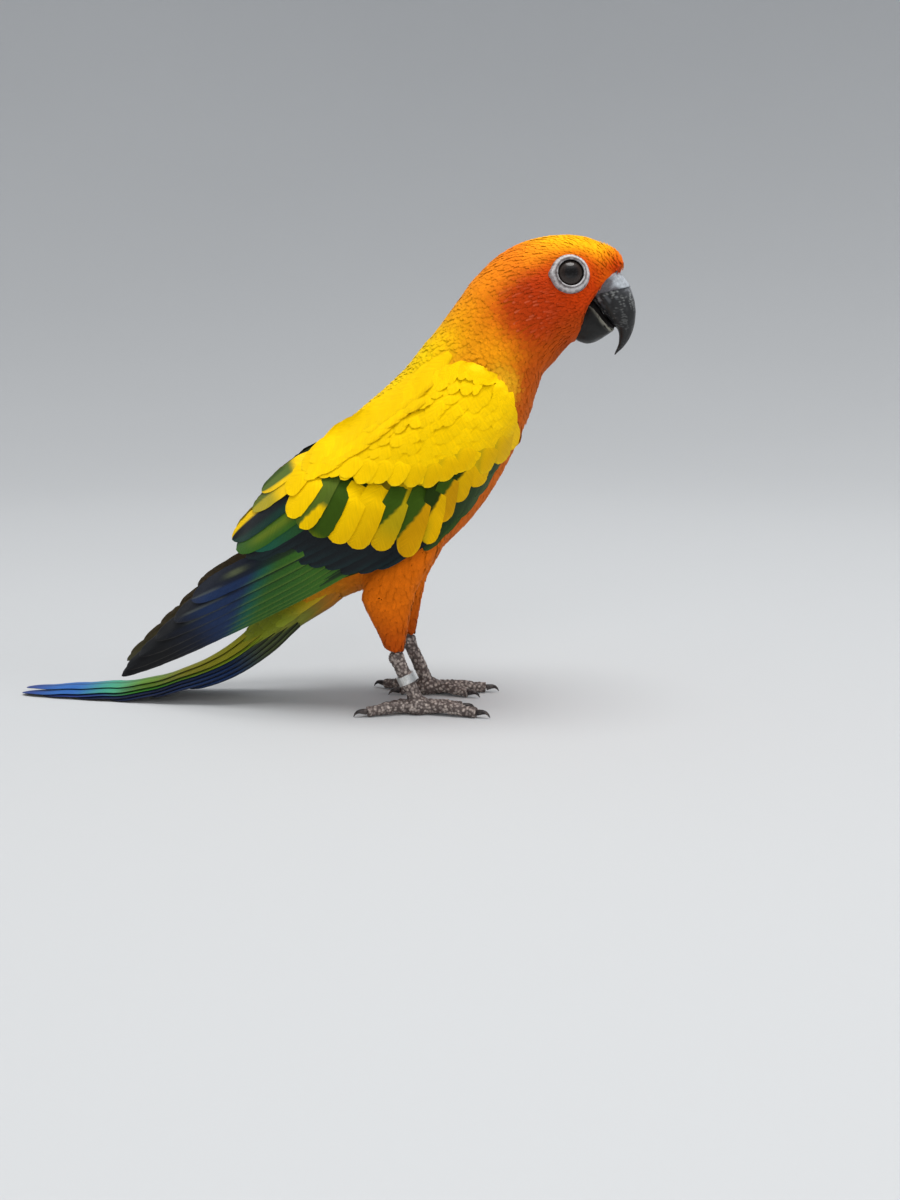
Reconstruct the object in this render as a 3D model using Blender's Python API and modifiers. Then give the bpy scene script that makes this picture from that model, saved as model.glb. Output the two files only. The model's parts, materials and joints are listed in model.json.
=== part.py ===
# Sun conure: a life-size still model of the bird, standing on a level floor
#
# The bird faces +X, its right side is -Y and up is +Z. Sizes below are in
# millimetres, in a working frame whose origin lies on the floor between the
# feet, and MM turns them into metres. Each half of the body is the mirror of
# the other about Y = 0, apart from the wings, which fold a little differently.

import math
import random

import bmesh
import bpy
import numpy as np
from mathutils import Matrix, Vector
from mathutils.bvhtree import BVHTree

MM = 0.001
GAP = 0.3               # free space between touching pieces
SEED = 11
MIDDLE_X = 31.8         # moves the middle of the whole length to the origin

# Body, from the root of the tail up to the face. Each station is a section:
# centre x, centre z, half depth, half width, tilt of the spine in degrees,
# and how much wider the belly side is than the back.
STATIONS = (
    (-37.6, 36.8, 8.2, 10.4, 41.0, 0.00),
    (-32.6, 43.0, 11.6, 13.2, 41.0, 0.00),
    (-26.8, 49.3, 15.4, 16.2, 41.5, 0.02),
    (-19.8, 56.6, 20.4, 18.6, 44.0, 0.03),
    (-10.4, 67.1, 24.4, 20.2, 48.5, 0.04),
    (-3.0, 75.4, 25.6, 21.0, 51.5, 0.05),
    (5.1, 84.4, 24.6, 21.2, 54.0, 0.05),
    (13.8, 95.3, 22.0, 20.2, 55.5, 0.05),
    (20.5, 106.5, 20.2, 18.0, 56.0, 0.04),
    (24.5, 113.5, 18.8, 16.6, 53.0, 0.02),
    (27.5, 118.3, 18.5, 15.9, 44.0, 0.00),
    (30.8, 123.5, 18.7, 15.6, 34.5, 0.00),
    (36.0, 127.9, 19.2, 15.4, 26.0, 0.02),
    (41.8, 131.8, 18.2, 15.1, 17.0, 0.04),
    (49.4, 133.8, 16.8, 13.8, 1.0, 0.05),
    (55.0, 132.6, 15.9, 10.3, -14.0, 0.02),
    (59.6, 130.6, 13.2, 6.0, -30.0, 0.00),
)
BODY_BOX = 0.88         # below 1 the sections are a little square
BODY_SIDES = 24
TORSO_SPAN = (0.0, 8.6)  # places along STATIONS
NECK_SPAN = (8.6, 11.4)
HEAD_SPAN = (11.4, 16.0)

# Line where feathers end and the bill starts, from the forehead to the chin
FACE_LINE = ((65.2, 140.6), (62.0, 137.2), (59.0, 134.0), (56.7, 131.0),
             (55.0, 128.6), (53.7, 125.2), (53.0, 121.2), (50.6, 116.2))

# Upper bill: point on the culmen, point on the cutting edge, half width
UPPER_BILL = (
    (60.4, 139.6, 52.0, 130.6, 6.6),
    (63.9, 138.7, 55.6, 130.6, 6.6),
    (67.0, 135.2, 58.3, 127.9, 6.3),
    (68.8, 131.2, 60.4, 125.0, 5.7),
    (69.5, 127.0, 62.4, 122.8, 4.9),
    (69.2, 123.0, 64.0, 121.4, 3.9),
    (68.2, 119.6, 64.5, 119.4, 2.8),
    (66.3, 116.4, 64.3, 116.8, 1.6),
    (63.3, 113.5, 63.2, 113.8, 0.35),
)
CERE_LINE = ((57.8, 132.2), (69.5, 134.9))
CERE_SWELL = 0.25
NOSTRIL = (61.9, 3.9, 137.4)
NOSTRIL_RADIUS = 0.75

# Lower bill: point on the keel, point on the cutting edge, half width
LOWER_BILL = (
    (48.6, 119.6, 51.4, 129.0, 5.0),
    (51.8, 117.8, 55.4, 129.4, 5.5),
    (54.8, 117.0, 57.4, 127.6, 5.6),
    (57.7, 117.8, 59.2, 124.9, 5.2),
    (60.2, 119.3, 61.0, 122.8, 4.2),
    (62.2, 120.7, 62.7, 121.5, 2.6),
)
BILL_SIDES = 16

# Eye and the bare ring of lids around it
EYE = (49.3, 11.7, 138.4)
EYE_RADIUS = 4.6
EYE_DEPTH = 3.4
EYE_UP = 13.0           # degrees that the eye looks up, and forward
EYE_FORWARD = 12.0
LID_PROFILE = ((3.95, 2.30), (4.30, 2.75), (5.00, 2.75), (5.80, 2.15),
               (6.50, 1.20), (6.50, -0.60), (4.95, -0.60), (4.80, 1.00),
               (4.35, 1.85))
LID_STEPS = 20

# Legs
HEEL = (-4.2, 14.4, 18.2)
TOE_JOINT = (2.0, 14.0, 4.6)
THIGH = (               # x, y, z, half length along X, half width, tilt
    (3.6, 11.5, 58.0, 10.5, 8.0, 100.0),
    (-2.5, 13.0, 48.0, 10.6, 7.6, 98.0),
    (-6.6, 13.8, 39.5, 9.6, 6.8, 97.0),
    (-6.4, 14.2, 32.5, 7.4, 5.8, 93.0),
    (-5.6, 14.4, 26.5, 5.3, 4.7, 88.0),
    (-4.8, 14.4, 20.0, 3.5, 3.4, 82.0),
)
TARSUS_RADIUS = 2.1
HEEL_RADIUS = 2.5
PALM = (2.4, 14.0, 2.6)
PALM_SIZE = (4.6, 4.0, 3.0)
TOE_HEIGHT = 1.7
# Toe: heading in degrees from straight ahead (out is +), length, radius
TOES = (
    ("outer_front", 11.0, 19.5, 2.05),
    ("inner_front", -17.0, 14.5, 1.95),
    ("outer_back", 158.0, 16.5, 1.95),
    ("inner_back", -158.0, 9.5, 1.75),
)
TOE_POINTS = 6
CLAW_LENGTH = 5.4
CLAW_RADIUS = 1.05
CLAW_STEPS = 5
RING_PLACE = 0.50       # along the tarsus
RING_HEIGHT = 3.0
RING_WALL = 0.6
RING_STEPS = 24

# Wings: an oval frame along the folded wing, p from the wrist to the tips and
# q towards the back
WRIST = (24.0, 100.0)
SHOULDER = (15.0, 95.0)
WING_TILT = 36.8        # degrees that the folded wing slopes down
WING_LIFT = {"right": 3.5, "left": 4.6}
LOW_EDGE = ((-10.6, 0.0), (-8.0, -6.0), (-3.0, -12.0), (2.0, -15.5),
            (7.0, -19.0), (14.0, -22.6), (22.0, -25.6), (36.0, -27.4),
            (46.0, -27.2), (69.0, -22.2), (87.0, -20.0), (102.0, -17.8),
            (128.0, -12.6), (152.0, -9.0))
TOP_EDGE = ((-10.6, 5.0), (-7.0, 12.0), (-3.0, 15.6), (4.0, 17.2),
            (20.0, 15.4), (28.0, 14.6), (41.0, 16.0), (51.0, 19.0),
            (61.0, 20.0), (72.0, 17.6), (80.0, 13.8), (97.0, 5.8),
            (128.0, -3.0), (152.0, -8.0))
# Half widths of the pair of folded wings along p: at the top edge, at the
# fullest line and at the low edge
WING_WIDTHS = (
    (-20.0, 0.0, 0.0, 0.0),
    (20.0, 8.0, 12.0, 8.0),
    (32.0, 13.0, 23.0, 21.0),
    (45.0, 10.5, 23.6, 21.4),
    (60.0, 7.5, 22.6, 20.4),
    (75.0, 5.2, 20.4, 18.4),
    (90.0, 4.0, 17.2, 15.6),
    (105.0, 3.0, 14.0, 12.6),
    (120.0, 2.9, 11.0, 9.9),
    (135.0, 3.0, 8.6, 7.8),
    (155.0, 3.4, 6.4, 6.0),
)
WING_LENGTH = 151.0
# Bed: the plate that the feathers root in, over part of p
BED_SPAN = (-10.0, 66.0)
BED_GRID = (9, 5)
BED_INSET = 0.4         # from the wing's edges
BED_DEPTH = 1.5         # of the plate, and how much more there is at its middle
BED_SWELL = 1.5
BED_LEAST = 0.5
BED_THICK = (0.7, 2.4)  # of the wing over the flesh, at the front rim and the shoulder
BED_RIM = 15.0          # how far the shoulder takes to rise from the front
FLESH_CLEAR = 0.6       # least distance from the flesh to the inside of a wing

# Feather tiers of a wing, low side of the wing first: name, number, a line of
# tips and a line of roots in p and q, webs below and above the shaft, level
# over the sheet, and how far the low edge stands over the high edge
TIERS = (
    ("primary", 7,
     ((119.0, -15.2), (129.5, -12.4), (138.5, -11.0), (151.5, -9.0),
      (146.5, -6.4), (134.0, -4.8), (120.0, -3.2)),
     ((57.0, -21.6), (58.0, -8.5)), 1.5, 4.2, -0.3, 1.9),
    ("secondary", 6,
     ((84.0, -7.0), (90.5, -2.4), (95.5, 1.4), (99.0, 4.8), (92.0, 9.6), (82.0, 13.0)),
     ((51.0, -9.0), (50.0, 13.5)), 2.2, 4.4, -0.2, 1.8),
    ("greater", 8,
     ((33.5, -26.2), (43.0, -26.6), (50.5, -19.6), (58.2, -14.3), (63.0, -9.0),
      (68.0, -3.6), (70.0, 3.2), (74.0, 10.8)),
     ((14.0, -12.2), (28.5, -8.6), (38.9, -2.1), (48.0, 9.8)), 3.5, 4.1, 0.6, 1.7),
    ("median", 6,
     ((4.5, -15.4), (13.5, -18.2), (22.0, -15.6), (30.5, -10.2), (39.0, -4.6),
      (47.0, 4.0), (54.0, 11.6)),
     ((-5.0, -4.0), (14.5, -3.2), (36.0, 12.0)), 4.0, 4.6, 1.0, 1.8),
)
VANE_STEPS = {"primary": 4, "secondary": 3, "greater": 3, "median": 3}
TIP_START = {"primary": 0.80, "secondary": 0.84, "greater": 0.70, "median": 0.60}
VANE_THICK = 0.55
VANE_EDGE = 0.5
ROOT_DEPTH = 0.6        # of the roots, under the surface of the bed
ROOT_END = 0.34         # share of a vane's length over which it leaves the bed
VANE_BOW = 0.05

# Tail: its path runs straight down from the rump, bends and lies on the floor
TAIL_ROOT = (-22.0, 47.0)
TAIL_SLOPE = 41.0
TAIL_BEND = 70.0        # radius of the bend
TAIL_FLOOR = 1.0        # height of the path where it lies
TAIL_CORE = (19.9, 40.0)
# Rectrices from the outermost pair to the middle one: length, root and spread
# of the shaft to the side (mm, degrees), outer web, inner web
RECTRICES = (
    (66.0, 7.0, 3.6, 3.0, 6.6),
    (80.0, 6.2, 2.9, 3.2, 6.8),
    (94.0, 5.2, 2.2, 3.4, 7.0),
    (107.0, 4.2, 1.5, 3.6, 7.0),
    (118.0, 3.0, 0.9, 4.2, 6.4),
    (126.0, 1.5, 0.35, 5.4, 5.4),
)
LAYER = 0.86            # from one rectrix to the next above it
ROOF_DROP = 0.42        # how steeply the tail's sides hang near its root
ROOF_END = 78.0         # where the tail has flattened out
TAIL_STEPS = 6
MIDDLE_CLEAR = 0.3       # from the bird's middle to the inner webs of the side feathers
TAIL_TIP_START = 0.62
# Tail coverts: length, side offset, half width; over and under the tail
TAIL_COVERTS = {
    "over": ((52.0, 0.0, 6.2), (44.0, 5.8, 4.4), (43.0, -5.8, 4.4)),
    "under": ((62.0, 0.0, 5.4), (52.0, 5.4, 3.9), (51.0, -5.4, 3.9)),
}

# Colour, roughness and metallic value of each finish
FINISHES = {
    "breast_orange": ((0.86, 0.24, 0.02), 0.72, 0.0),
    "neck_orange": ((0.90, 0.36, 0.03), 0.72, 0.0),
    "head_orange": ((0.85, 0.17, 0.02), 0.70, 0.0),
    "thigh_orange": ((0.85, 0.22, 0.01), 0.75, 0.0),
    "wing_yellow": ((0.93, 0.66, 0.02), 0.62, 0.0),
    "tail_green": ((0.07, 0.22, 0.10), 0.50, 0.0),
    "bill_black": ((0.03, 0.03, 0.035), 0.40, 0.0),
    "cere_grey": ((0.42, 0.41, 0.42), 0.60, 0.0),
    "lid_grey": ((0.55, 0.52, 0.52), 0.62, 0.0),
    "eye_dark": ((0.015, 0.010, 0.008), 0.08, 0.0),
    "leg_grey": ((0.14, 0.11, 0.10), 0.65, 0.0),
    "claw_dark": ((0.04, 0.035, 0.035), 0.40, 0.0),
    "ring_metal": ((0.74, 0.75, 0.74), 0.32, 0.9),
}

rng = random.Random(SEED)


# Starting from an empty file, with one collection and one parent for the bird

def clear_scene():
    for old in list(bpy.data.objects):
        bpy.data.objects.remove(old, do_unlink=True)


def make_home():
    home = bpy.data.collections.new("sun_conure")
    bpy.context.scene.collection.children.link(home)
    parent = bpy.data.objects.new("sun_conure_place", None)
    parent.location = (MIDDLE_X * MM, 0.0, 0.0)
    home.objects.link(parent)
    return home, parent


def finish_material(name):
    if name in bpy.data.materials:
        return bpy.data.materials[name]
    colour, roughness, metallic = FINISHES[name]
    material = bpy.data.materials.new(name)
    material.use_nodes = True
    shader = material.node_tree.nodes["Principled BSDF"]
    shader.inputs["Base Color"].default_value = (*colour, 1.0)
    shader.inputs["Roughness"].default_value = roughness
    shader.inputs["Metallic"].default_value = metallic
    return material


# Small helpers for numbers

def smooth(value, low, high):
    t = min(1.0, max(0.0, (value - low) / (high - low)))
    return t * t * (3.0 - 2.0 * t)


def row_at(rows, place):
    """A smooth (Catmull-Rom) row between the listed rows, at a place such as 2.5."""
    last = len(rows) - 1
    place = min(float(last), max(0.0, place))
    i = min(int(place), last - 1)
    t = place - i
    a, b, c, d = (np.array(rows[min(last, max(0, k))], dtype=float)
                  for k in (i - 1, i, i + 1, i + 2))
    return 0.5 * (2 * b + (c - a) * t + (2 * a - 5 * b + 4 * c - d) * t ** 2
                  + (3 * b - a - 3 * c + d) * t ** 3)


def share(points, count, k):
    """Point k of a number shared out evenly along a line of points."""
    return row_at(points, (len(points) - 1) * k / max(1, count - 1))


def along(table, value):
    """The columns of a table, read between its rows by its first column."""
    table = np.array(table)
    return [np.interp(value, table[:, 0], table[:, c]) for c in range(1, table.shape[1])]


# Meshes

def new_object(name, points, faces, smooth_shade=True):
    """A closed mesh from points in millimetres, faces pointing outwards."""
    mesh = bpy.data.meshes.new(name)
    mesh.from_pydata([tuple(c * MM for c in p) for p in points], [], faces)
    bm = bmesh.new()
    bm.from_mesh(mesh)
    bmesh.ops.recalc_face_normals(bm, faces=bm.faces)
    bm.to_mesh(mesh)
    bm.free()
    if smooth_shade:
        mesh.shade_smooth()
    obj = bpy.data.objects.new(name, mesh)
    bpy.context.scene.collection.objects.link(obj)
    return obj


def loft(name, rings):
    """A closed body through rings of equal point count."""
    sides = len(rings[0])
    points = [p for ring in rings for p in ring]
    faces = [tuple(range(sides)), tuple(reversed(range(len(points) - sides, len(points))))]
    for i in range(len(rings) - 1):
        for j in range(sides):
            k = (j + 1) % sides
            a, b = i * sides, (i + 1) * sides
            faces.append((a + j, a + k, b + k, b + j))
    return new_object(name, points, faces)


def body_ring(place, grow=0.0, sides=BODY_SIDES):
    x, z, depth, width, tilt, belly = row_at(STATIONS, place)
    tilt = math.radians(tilt)
    ring = []
    for j in range(sides):
        angle = 2.0 * math.pi * (j + 0.5) / sides
        c, s = math.cos(angle), math.sin(angle)
        out = math.copysign(abs(s) ** BODY_BOX, s)
        n = (depth + grow) * c
        y = (width + grow) * out * (1.0 - belly * c)
        ring.append((x - n * math.sin(tilt), y, z + n * math.cos(tilt)))
    return ring


def edge_ring(x0, z0, x1, z1, width, middle=0.5, sides=BILL_SIDES):
    """A section of the bill between its outer point and its inner point."""
    ring = []
    for j in range(sides):
        angle = 2.0 * math.pi * (j + 0.5) / sides
        c, s = math.cos(angle), math.sin(angle)
        t = 0.5 - 0.5 * c
        y = width * math.copysign(abs(s) ** 0.85, s) * (1.0 + 0.16 * (t - middle))
        ring.append((x0 + (x1 - x0) * t, y, z0 + (z1 - z0) * t))
    return ring


def mesh_of(obj):
    """The object's evaluated mesh, as a new mesh."""
    bpy.context.view_layer.update()
    graph = bpy.context.evaluated_depsgraph_get()
    return bpy.data.meshes.new_from_object(obj.evaluated_get(graph))


def apply_all(obj):
    mesh = mesh_of(obj)
    obj.modifiers.clear()
    old = obj.data
    obj.data = mesh
    bpy.data.meshes.remove(old)
    tidy(obj)


def tidy(obj):
    """Keeps only the largest closed surface of a mesh, as clean triangles."""
    bm = bmesh.new()
    bm.from_mesh(obj.data)
    bmesh.ops.remove_doubles(bm, verts=bm.verts, dist=2e-6)
    bmesh.ops.dissolve_degenerate(bm, edges=bm.edges, dist=2e-6)
    bmesh.ops.triangulate(bm, faces=bm.faces)
    islands = []
    left = set(bm.faces)
    while left:
        island = set()
        queue = [left.pop()]
        while queue:
            face = queue.pop()
            island.add(face)
            for edge in face.edges:
                for other in edge.link_faces:
                    if other in left:
                        left.discard(other)
                        queue.append(other)
        islands.append(island)
    islands.sort(key=island_volume, reverse=True)
    for island in islands[1:]:
        bmesh.ops.delete(bm, geom=list(island), context="FACES")
    loose = [v for v in bm.verts if not v.link_faces]
    bmesh.ops.delete(bm, geom=loose, context="VERTS")
    bm.to_mesh(obj.data)
    bm.free()
    obj.data.shade_smooth()


def island_volume(faces):
    total = 0.0
    for face in faces:
        a, b, c = (v.co for v in face.verts[:3])
        total += a.dot(b.cross(c)) / 6.0
    return total


def fuse(pieces, solver="MANIFOLD"):
    """One closed body from overlapping closed pieces; the first keeps its name."""
    base = pieces[0]
    box = bpy.data.collections.new("to_fuse")
    bpy.context.scene.collection.children.link(box)
    for piece in pieces[1:]:
        bpy.context.scene.collection.objects.unlink(piece)
        box.objects.link(piece)
    join = base.modifiers.new("join", "BOOLEAN")
    join.operation = "UNION"
    join.operand_type = "COLLECTION"
    join.collection = box
    join.solver = solver
    apply_all(base)
    for piece in pieces[1:]:
        bpy.data.objects.remove(piece, do_unlink=True)
    bpy.data.collections.remove(box)
    return base


def carve(obj, cutter, operation="DIFFERENCE", keep_cutter=False, solver="EXACT"):
    cut = obj.modifiers.new("cut", "BOOLEAN")
    cut.operation = operation
    cut.solver = solver
    cut.object = cutter
    apply_all(obj)
    if not keep_cutter:
        bpy.data.objects.remove(cutter, do_unlink=True)


def grown(obj, distance):
    """A copy whose surface lies a distance in millimetres further out."""
    copy = bpy.data.objects.new("grown", mesh_of(obj))
    bpy.context.scene.collection.objects.link(copy)
    bm = bmesh.new()
    bm.from_mesh(copy.data)
    bm.normal_update()
    for v in bm.verts:
        v.co += v.normal * distance * MM
    bm.to_mesh(copy.data)
    bm.free()
    return copy


def prism(outline, half_width):
    """A closed slab across the bird, from an outline in its XZ plane."""
    count = len(outline)
    points = [(x, y, z) for y in (-half_width, half_width) for x, z in outline]
    faces = [tuple(range(count)), tuple(reversed(range(count, 2 * count)))]
    for i in range(count):
        k = (i + 1) % count
        faces.append((i, k, count + k, count + i))
    return new_object("prism", points, faces, smooth_shade=False)


def tube(name, points, radii, resolution=2):
    """A tapering tube with round section along points, as a closed mesh."""
    curve = bpy.data.curves.new("rod", "CURVE")
    curve.dimensions = "3D"
    curve.bevel_depth = MM
    curve.bevel_resolution = resolution
    curve.use_fill_caps = True
    spline = curve.splines.new("POLY")
    spline.points.add(len(points) - 1)
    for point, place, radius in zip(spline.points, points, radii):
        point.co = (*(c * MM for c in place), 1.0)
        point.radius = radius
    rod = bpy.data.objects.new("rod", curve)
    bpy.context.scene.collection.objects.link(rod)
    mesh = mesh_of(rod)
    bm = bmesh.new()
    bm.from_mesh(mesh)
    bmesh.ops.remove_doubles(bm, verts=bm.verts, dist=1e-6)
    bmesh.ops.recalc_face_normals(bm, faces=bm.faces)
    bm.to_mesh(mesh)
    bm.free()
    obj = bpy.data.objects.new(name, mesh)
    obj.matrix_world = rod.matrix_world
    bpy.context.scene.collection.objects.link(obj)
    bpy.data.objects.remove(rod, do_unlink=True)
    obj.data.shade_smooth()
    return obj


def ball(name, centre, size, turn=None, segments=16, rings=10):
    mesh = bpy.data.meshes.new(name)
    bm = bmesh.new()
    bmesh.ops.create_uvsphere(bm, u_segments=segments, v_segments=rings, radius=MM)
    place = Matrix.Translation(Vector(centre) * MM)
    if turn is not None:
        place = place @ turn
    place = place @ Matrix.Diagonal((*size, 1.0))
    bmesh.ops.transform(bm, matrix=place, verts=bm.verts)
    bm.to_mesh(mesh)
    bm.free()
    mesh.shade_smooth()
    obj = bpy.data.objects.new(name, mesh)
    bpy.context.scene.collection.objects.link(obj)
    return obj


def turned(name, profile, steps, place):
    """A profile of (radius, height) turned about Z, then put in place."""
    mesh = bpy.data.meshes.new(name)
    points = [(r * MM, 0.0, h * MM) for r, h in profile]
    edges = [(i, (i + 1) % len(points)) for i in range(len(points))]
    mesh.from_pydata(points, edges, [])
    obj = bpy.data.objects.new(name, mesh)
    bpy.context.scene.collection.objects.link(obj)
    screw = obj.modifiers.new("turn", "SCREW")
    screw.steps = steps
    screw.render_steps = steps
    screw.use_merge_vertices = True
    screw.merge_threshold = 1e-6
    obj.data = mesh_of(obj)
    obj.modifiers.clear()
    bm = bmesh.new()
    bm.from_mesh(obj.data)
    bmesh.ops.remove_doubles(bm, verts=bm.verts, dist=1e-6)
    bmesh.ops.transform(bm, matrix=place, verts=bm.verts)
    bmesh.ops.recalc_face_normals(bm, faces=bm.faces)
    bm.to_mesh(obj.data)
    bm.free()
    return obj


def side_name(base, side):
    return base + ("_right" if side < 0 else "_left")


# Torso, neck and head

def make_torso():
    low, high = TORSO_SPAN
    return loft("torso", [body_ring(low + (high - low) * i / 12) for i in range(13)])


def make_neck():
    # the end sections step back by half the gap on each side of a cut
    step = GAP / 6.6
    low, high = NECK_SPAN[0] + step, NECK_SPAN[1] - step
    return loft("neck", [body_ring(low + (high - low) * i / 4) for i in range(5)])


def make_head():
    low, high = HEAD_SPAN
    rings = [body_ring(low + (high - low) * i / 9) for i in range(10)]
    head = loft("head", rings)
    x0, z0 = FACE_LINE[0]
    x1, z1 = FACE_LINE[-1]
    front = [*FACE_LINE, (x1 + 30.0, z1 - 14.0), (x0 + 20.0, z0 + 8.0)]
    carve(head, prism(front, 25.0))
    for side in (-1, 1):
        carve(head, eye_socket(side))
    return head


# Eyes and lids

def eye_frame(side):
    """Places a shape made about Z so that Z is the way the eye looks."""
    look = Vector((math.sin(math.radians(EYE_FORWARD)), side,
                   math.sin(math.radians(EYE_UP)))).normalized()
    turn = look.to_track_quat("Z", "X").to_matrix().to_4x4()
    centre = Vector((EYE[0], side * EYE[1], EYE[2])) * MM
    return Matrix.Translation(centre) @ turn, turn, centre


def eye_socket(side):
    place, turn, centre = eye_frame(side)
    outer = LID_PROFILE[4][0] + GAP
    floor = LID_PROFILE[5][1] - GAP
    rows = [(0.0, -EYE_DEPTH - GAP)]
    for k in range(1, 5):
        angle = math.pi / 2.0 * k / 4
        r = (EYE_RADIUS + GAP) * math.sin(angle)
        h = -(EYE_DEPTH + GAP) * math.cos(angle)
        if h < floor:
            rows.append((r, h))
    rows += [(EYE_RADIUS + GAP, floor), (outer, floor), (outer, 9.0), (0.0, 9.0)]
    return turned("socket", rows, LID_STEPS, place)


def make_eye(side):
    place, turn, centre = eye_frame(side)
    size = (EYE_RADIUS, EYE_RADIUS, EYE_DEPTH)
    return ball(side_name("eye", side), centre / MM, size, turn, 16, 9)


def make_lids(side):
    place = eye_frame(side)[0]
    return turned(side_name("eye_ring", side), LID_PROFILE, LID_STEPS, place)


# Bill and cere

def face_side(shift):
    """The space in front of the face line, moved forward by a shift."""
    dx, dz = 0.82 * shift, -0.57 * shift
    line = [(x + dx, z + dz) for x, z in FACE_LINE]
    return [*line, (line[-1][0] + 30.0, line[-1][1] - 14.0),
            (line[0][0] + 20.0, line[0][1] + 8.0)]


def bill_loft(name, rows, grow=0.0, middle=0.5):
    rings = []
    count = 2 * (len(rows) - 1)
    for i in range(count + 1):
        x0, z0, x1, z1, width = row_at(rows, i / 2)
        reach = math.hypot(x0 - x1, z0 - z1)
        ux, uz = (x0 - x1) / reach, (z0 - z1) / reach
        rings.append(edge_ring(x0 + ux * grow, z0 + uz * grow, x1, z1,
                               width + grow, middle))
    return loft(name, rings)


def cere_block(above, shift):
    (x0, z0), (x1, z1) = CERE_LINE
    way = 1.0 if above else -1.0
    rise = shift * way
    return prism([(x0 - 12, z0 - 2.8 + rise), (x1 + 12, z1 + 2.8 + rise),
                  (x1 + 12, z1 + 30 * way), (x0 - 12, z0 + 30 * way)], 20.0)


def make_upper_bill():
    bill = bill_loft("bill_upper", UPPER_BILL)
    carve(bill, prism(face_side(GAP * 1.2), 25.0), "INTERSECT")
    carve(bill, cere_block(False, 0.0), "INTERSECT")
    return bill


def make_cere():
    cere = bill_loft("cere", UPPER_BILL, CERE_SWELL)
    carve(cere, prism(face_side(GAP * 1.2), 25.0), "INTERSECT")
    carve(cere, cere_block(True, GAP * 1.1), "INTERSECT")
    x, y, z = NOSTRIL
    for side in (-1, 1):
        pit = ball("pit", (x, side * (y + 1.2), z), (NOSTRIL_RADIUS, 2.4, NOSTRIL_RADIUS),
                   segments=10, rings=6)
        carve(cere, pit)
    return cere


def make_lower_bill(upper):
    bill = bill_loft("bill_lower", LOWER_BILL, middle=0.2)
    carve(bill, prism(face_side(GAP * 1.2), 25.0), "INTERSECT")
    carve(bill, grown(upper, GAP * 1.1))
    return bill


# Legs

def make_thigh(side, torso, tarsus):
    rings = []
    for i in range(8):
        x, y, z, length, width, tilt = row_at(THIGH, (len(THIGH) - 1) * i / 7)
        lean = math.radians(tilt - 90.0)
        ring = []
        for j in range(14):
            angle = 2.0 * math.pi * (j + 0.5) / 14
            n = length * math.cos(angle)
            ring.append((x + n * math.cos(lean), side * (y + width * math.sin(angle)),
                         z + n * math.sin(lean)))
        rings.append(ring)
    thigh = loft(side_name("thigh", side), rings)
    carve(thigh, grown(torso, GAP * 1.15))
    carve(thigh, grown(tarsus, GAP * 1.15))
    return thigh


def make_tarsus(side, foot):
    heel = Vector((HEEL[0], side * HEEL[1], HEEL[2]))
    joint = Vector((TOE_JOINT[0], side * TOE_JOINT[1], TOE_JOINT[2]))
    points = [heel.lerp(joint, t) for t in (0.0, 0.15, 0.5, 0.85, 1.0)]
    radii = [1.08, 1.0, 1.0, 1.0, 1.12]
    shank = tube(side_name("tarsus", side), points,
                 [r * TARSUS_RADIUS for r in radii], 2)
    knob = ball("heel", heel, (HEEL_RADIUS, HEEL_RADIUS * 0.95, HEEL_RADIUS),
                segments=10, rings=6)
    tarsus = fuse([shank, knob])
    carve(tarsus, grown(foot, GAP * 1.15))
    return tarsus


def toe_line(side, heading, length, count):
    """Points of a toe: from the palm, over two low knuckles, to its end."""
    turn = math.radians(heading)
    way = Vector((math.cos(turn), side * math.sin(turn), 0.0))
    palm = Vector((PALM[0], side * PALM[1], TOE_HEIGHT + 0.4))
    points = []
    for i in range(count):
        t = i / (count - 1)
        arch = 0.9 * math.sin(math.pi * min(1.0, t * 1.15)) * (1.0 - 0.4 * t)
        points.append(palm + way * (1.5 + (length - 1.5) * t)
                      + Vector((0.0, 0.0, arch - 0.4 * t)))
    return points, way


def make_foot(side):
    pieces = [ball(side_name("foot", side), (PALM[0], side * PALM[1], PALM[2]), PALM_SIZE,
                   segments=12, rings=8)]
    for name, heading, length, radius in TOES:
        points, way = toe_line(side, heading, length, TOE_POINTS)
        radii = [radius * (1.06 if i % 2 == 1 else 0.94) * (1.0 - 0.22 * i / (TOE_POINTS - 1))
                 for i in range(TOE_POINTS)]
        pieces.append(tube(name, points, radii, 2))
    foot = fuse(pieces)
    floor = prism([(-60.0, -10.0), (60.0, -10.0), (60.0, 0.0), (-60.0, 0.0)], 60.0)
    carve(foot, floor)
    return foot


def make_claws(side):
    claws = []
    for name, heading, length, radius in TOES:
        points, way = toe_line(side, heading, length, TOE_POINTS)
        start = points[-1] + way * GAP
        size = CLAW_LENGTH * (0.8 + 0.2 * length / 19.5)
        route = []
        radii = []
        for i in range(CLAW_STEPS + 1):
            t = i / CLAW_STEPS
            bend = math.radians(14.0 - 74.0 * t)
            if i:
                route.append(route[-1] + (way * math.cos(bend)
                             + Vector((0.0, 0.0, math.sin(bend)))) * size / CLAW_STEPS)
            else:
                route.append(start)
            radii.append(CLAW_RADIUS * (1.0 - 0.86 * t ** 1.3))
        low = min(p.z - r for p, r in zip(route, radii))
        lift = max(0.0, 0.15 - low)
        route = [p + Vector((0.0, 0.0, lift * smooth(i, 0, CLAW_STEPS - 1))) for i, p in enumerate(route)]
        claws.append(tube(side_name("claw_" + name, side), route, radii, 2))
    return claws


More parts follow.
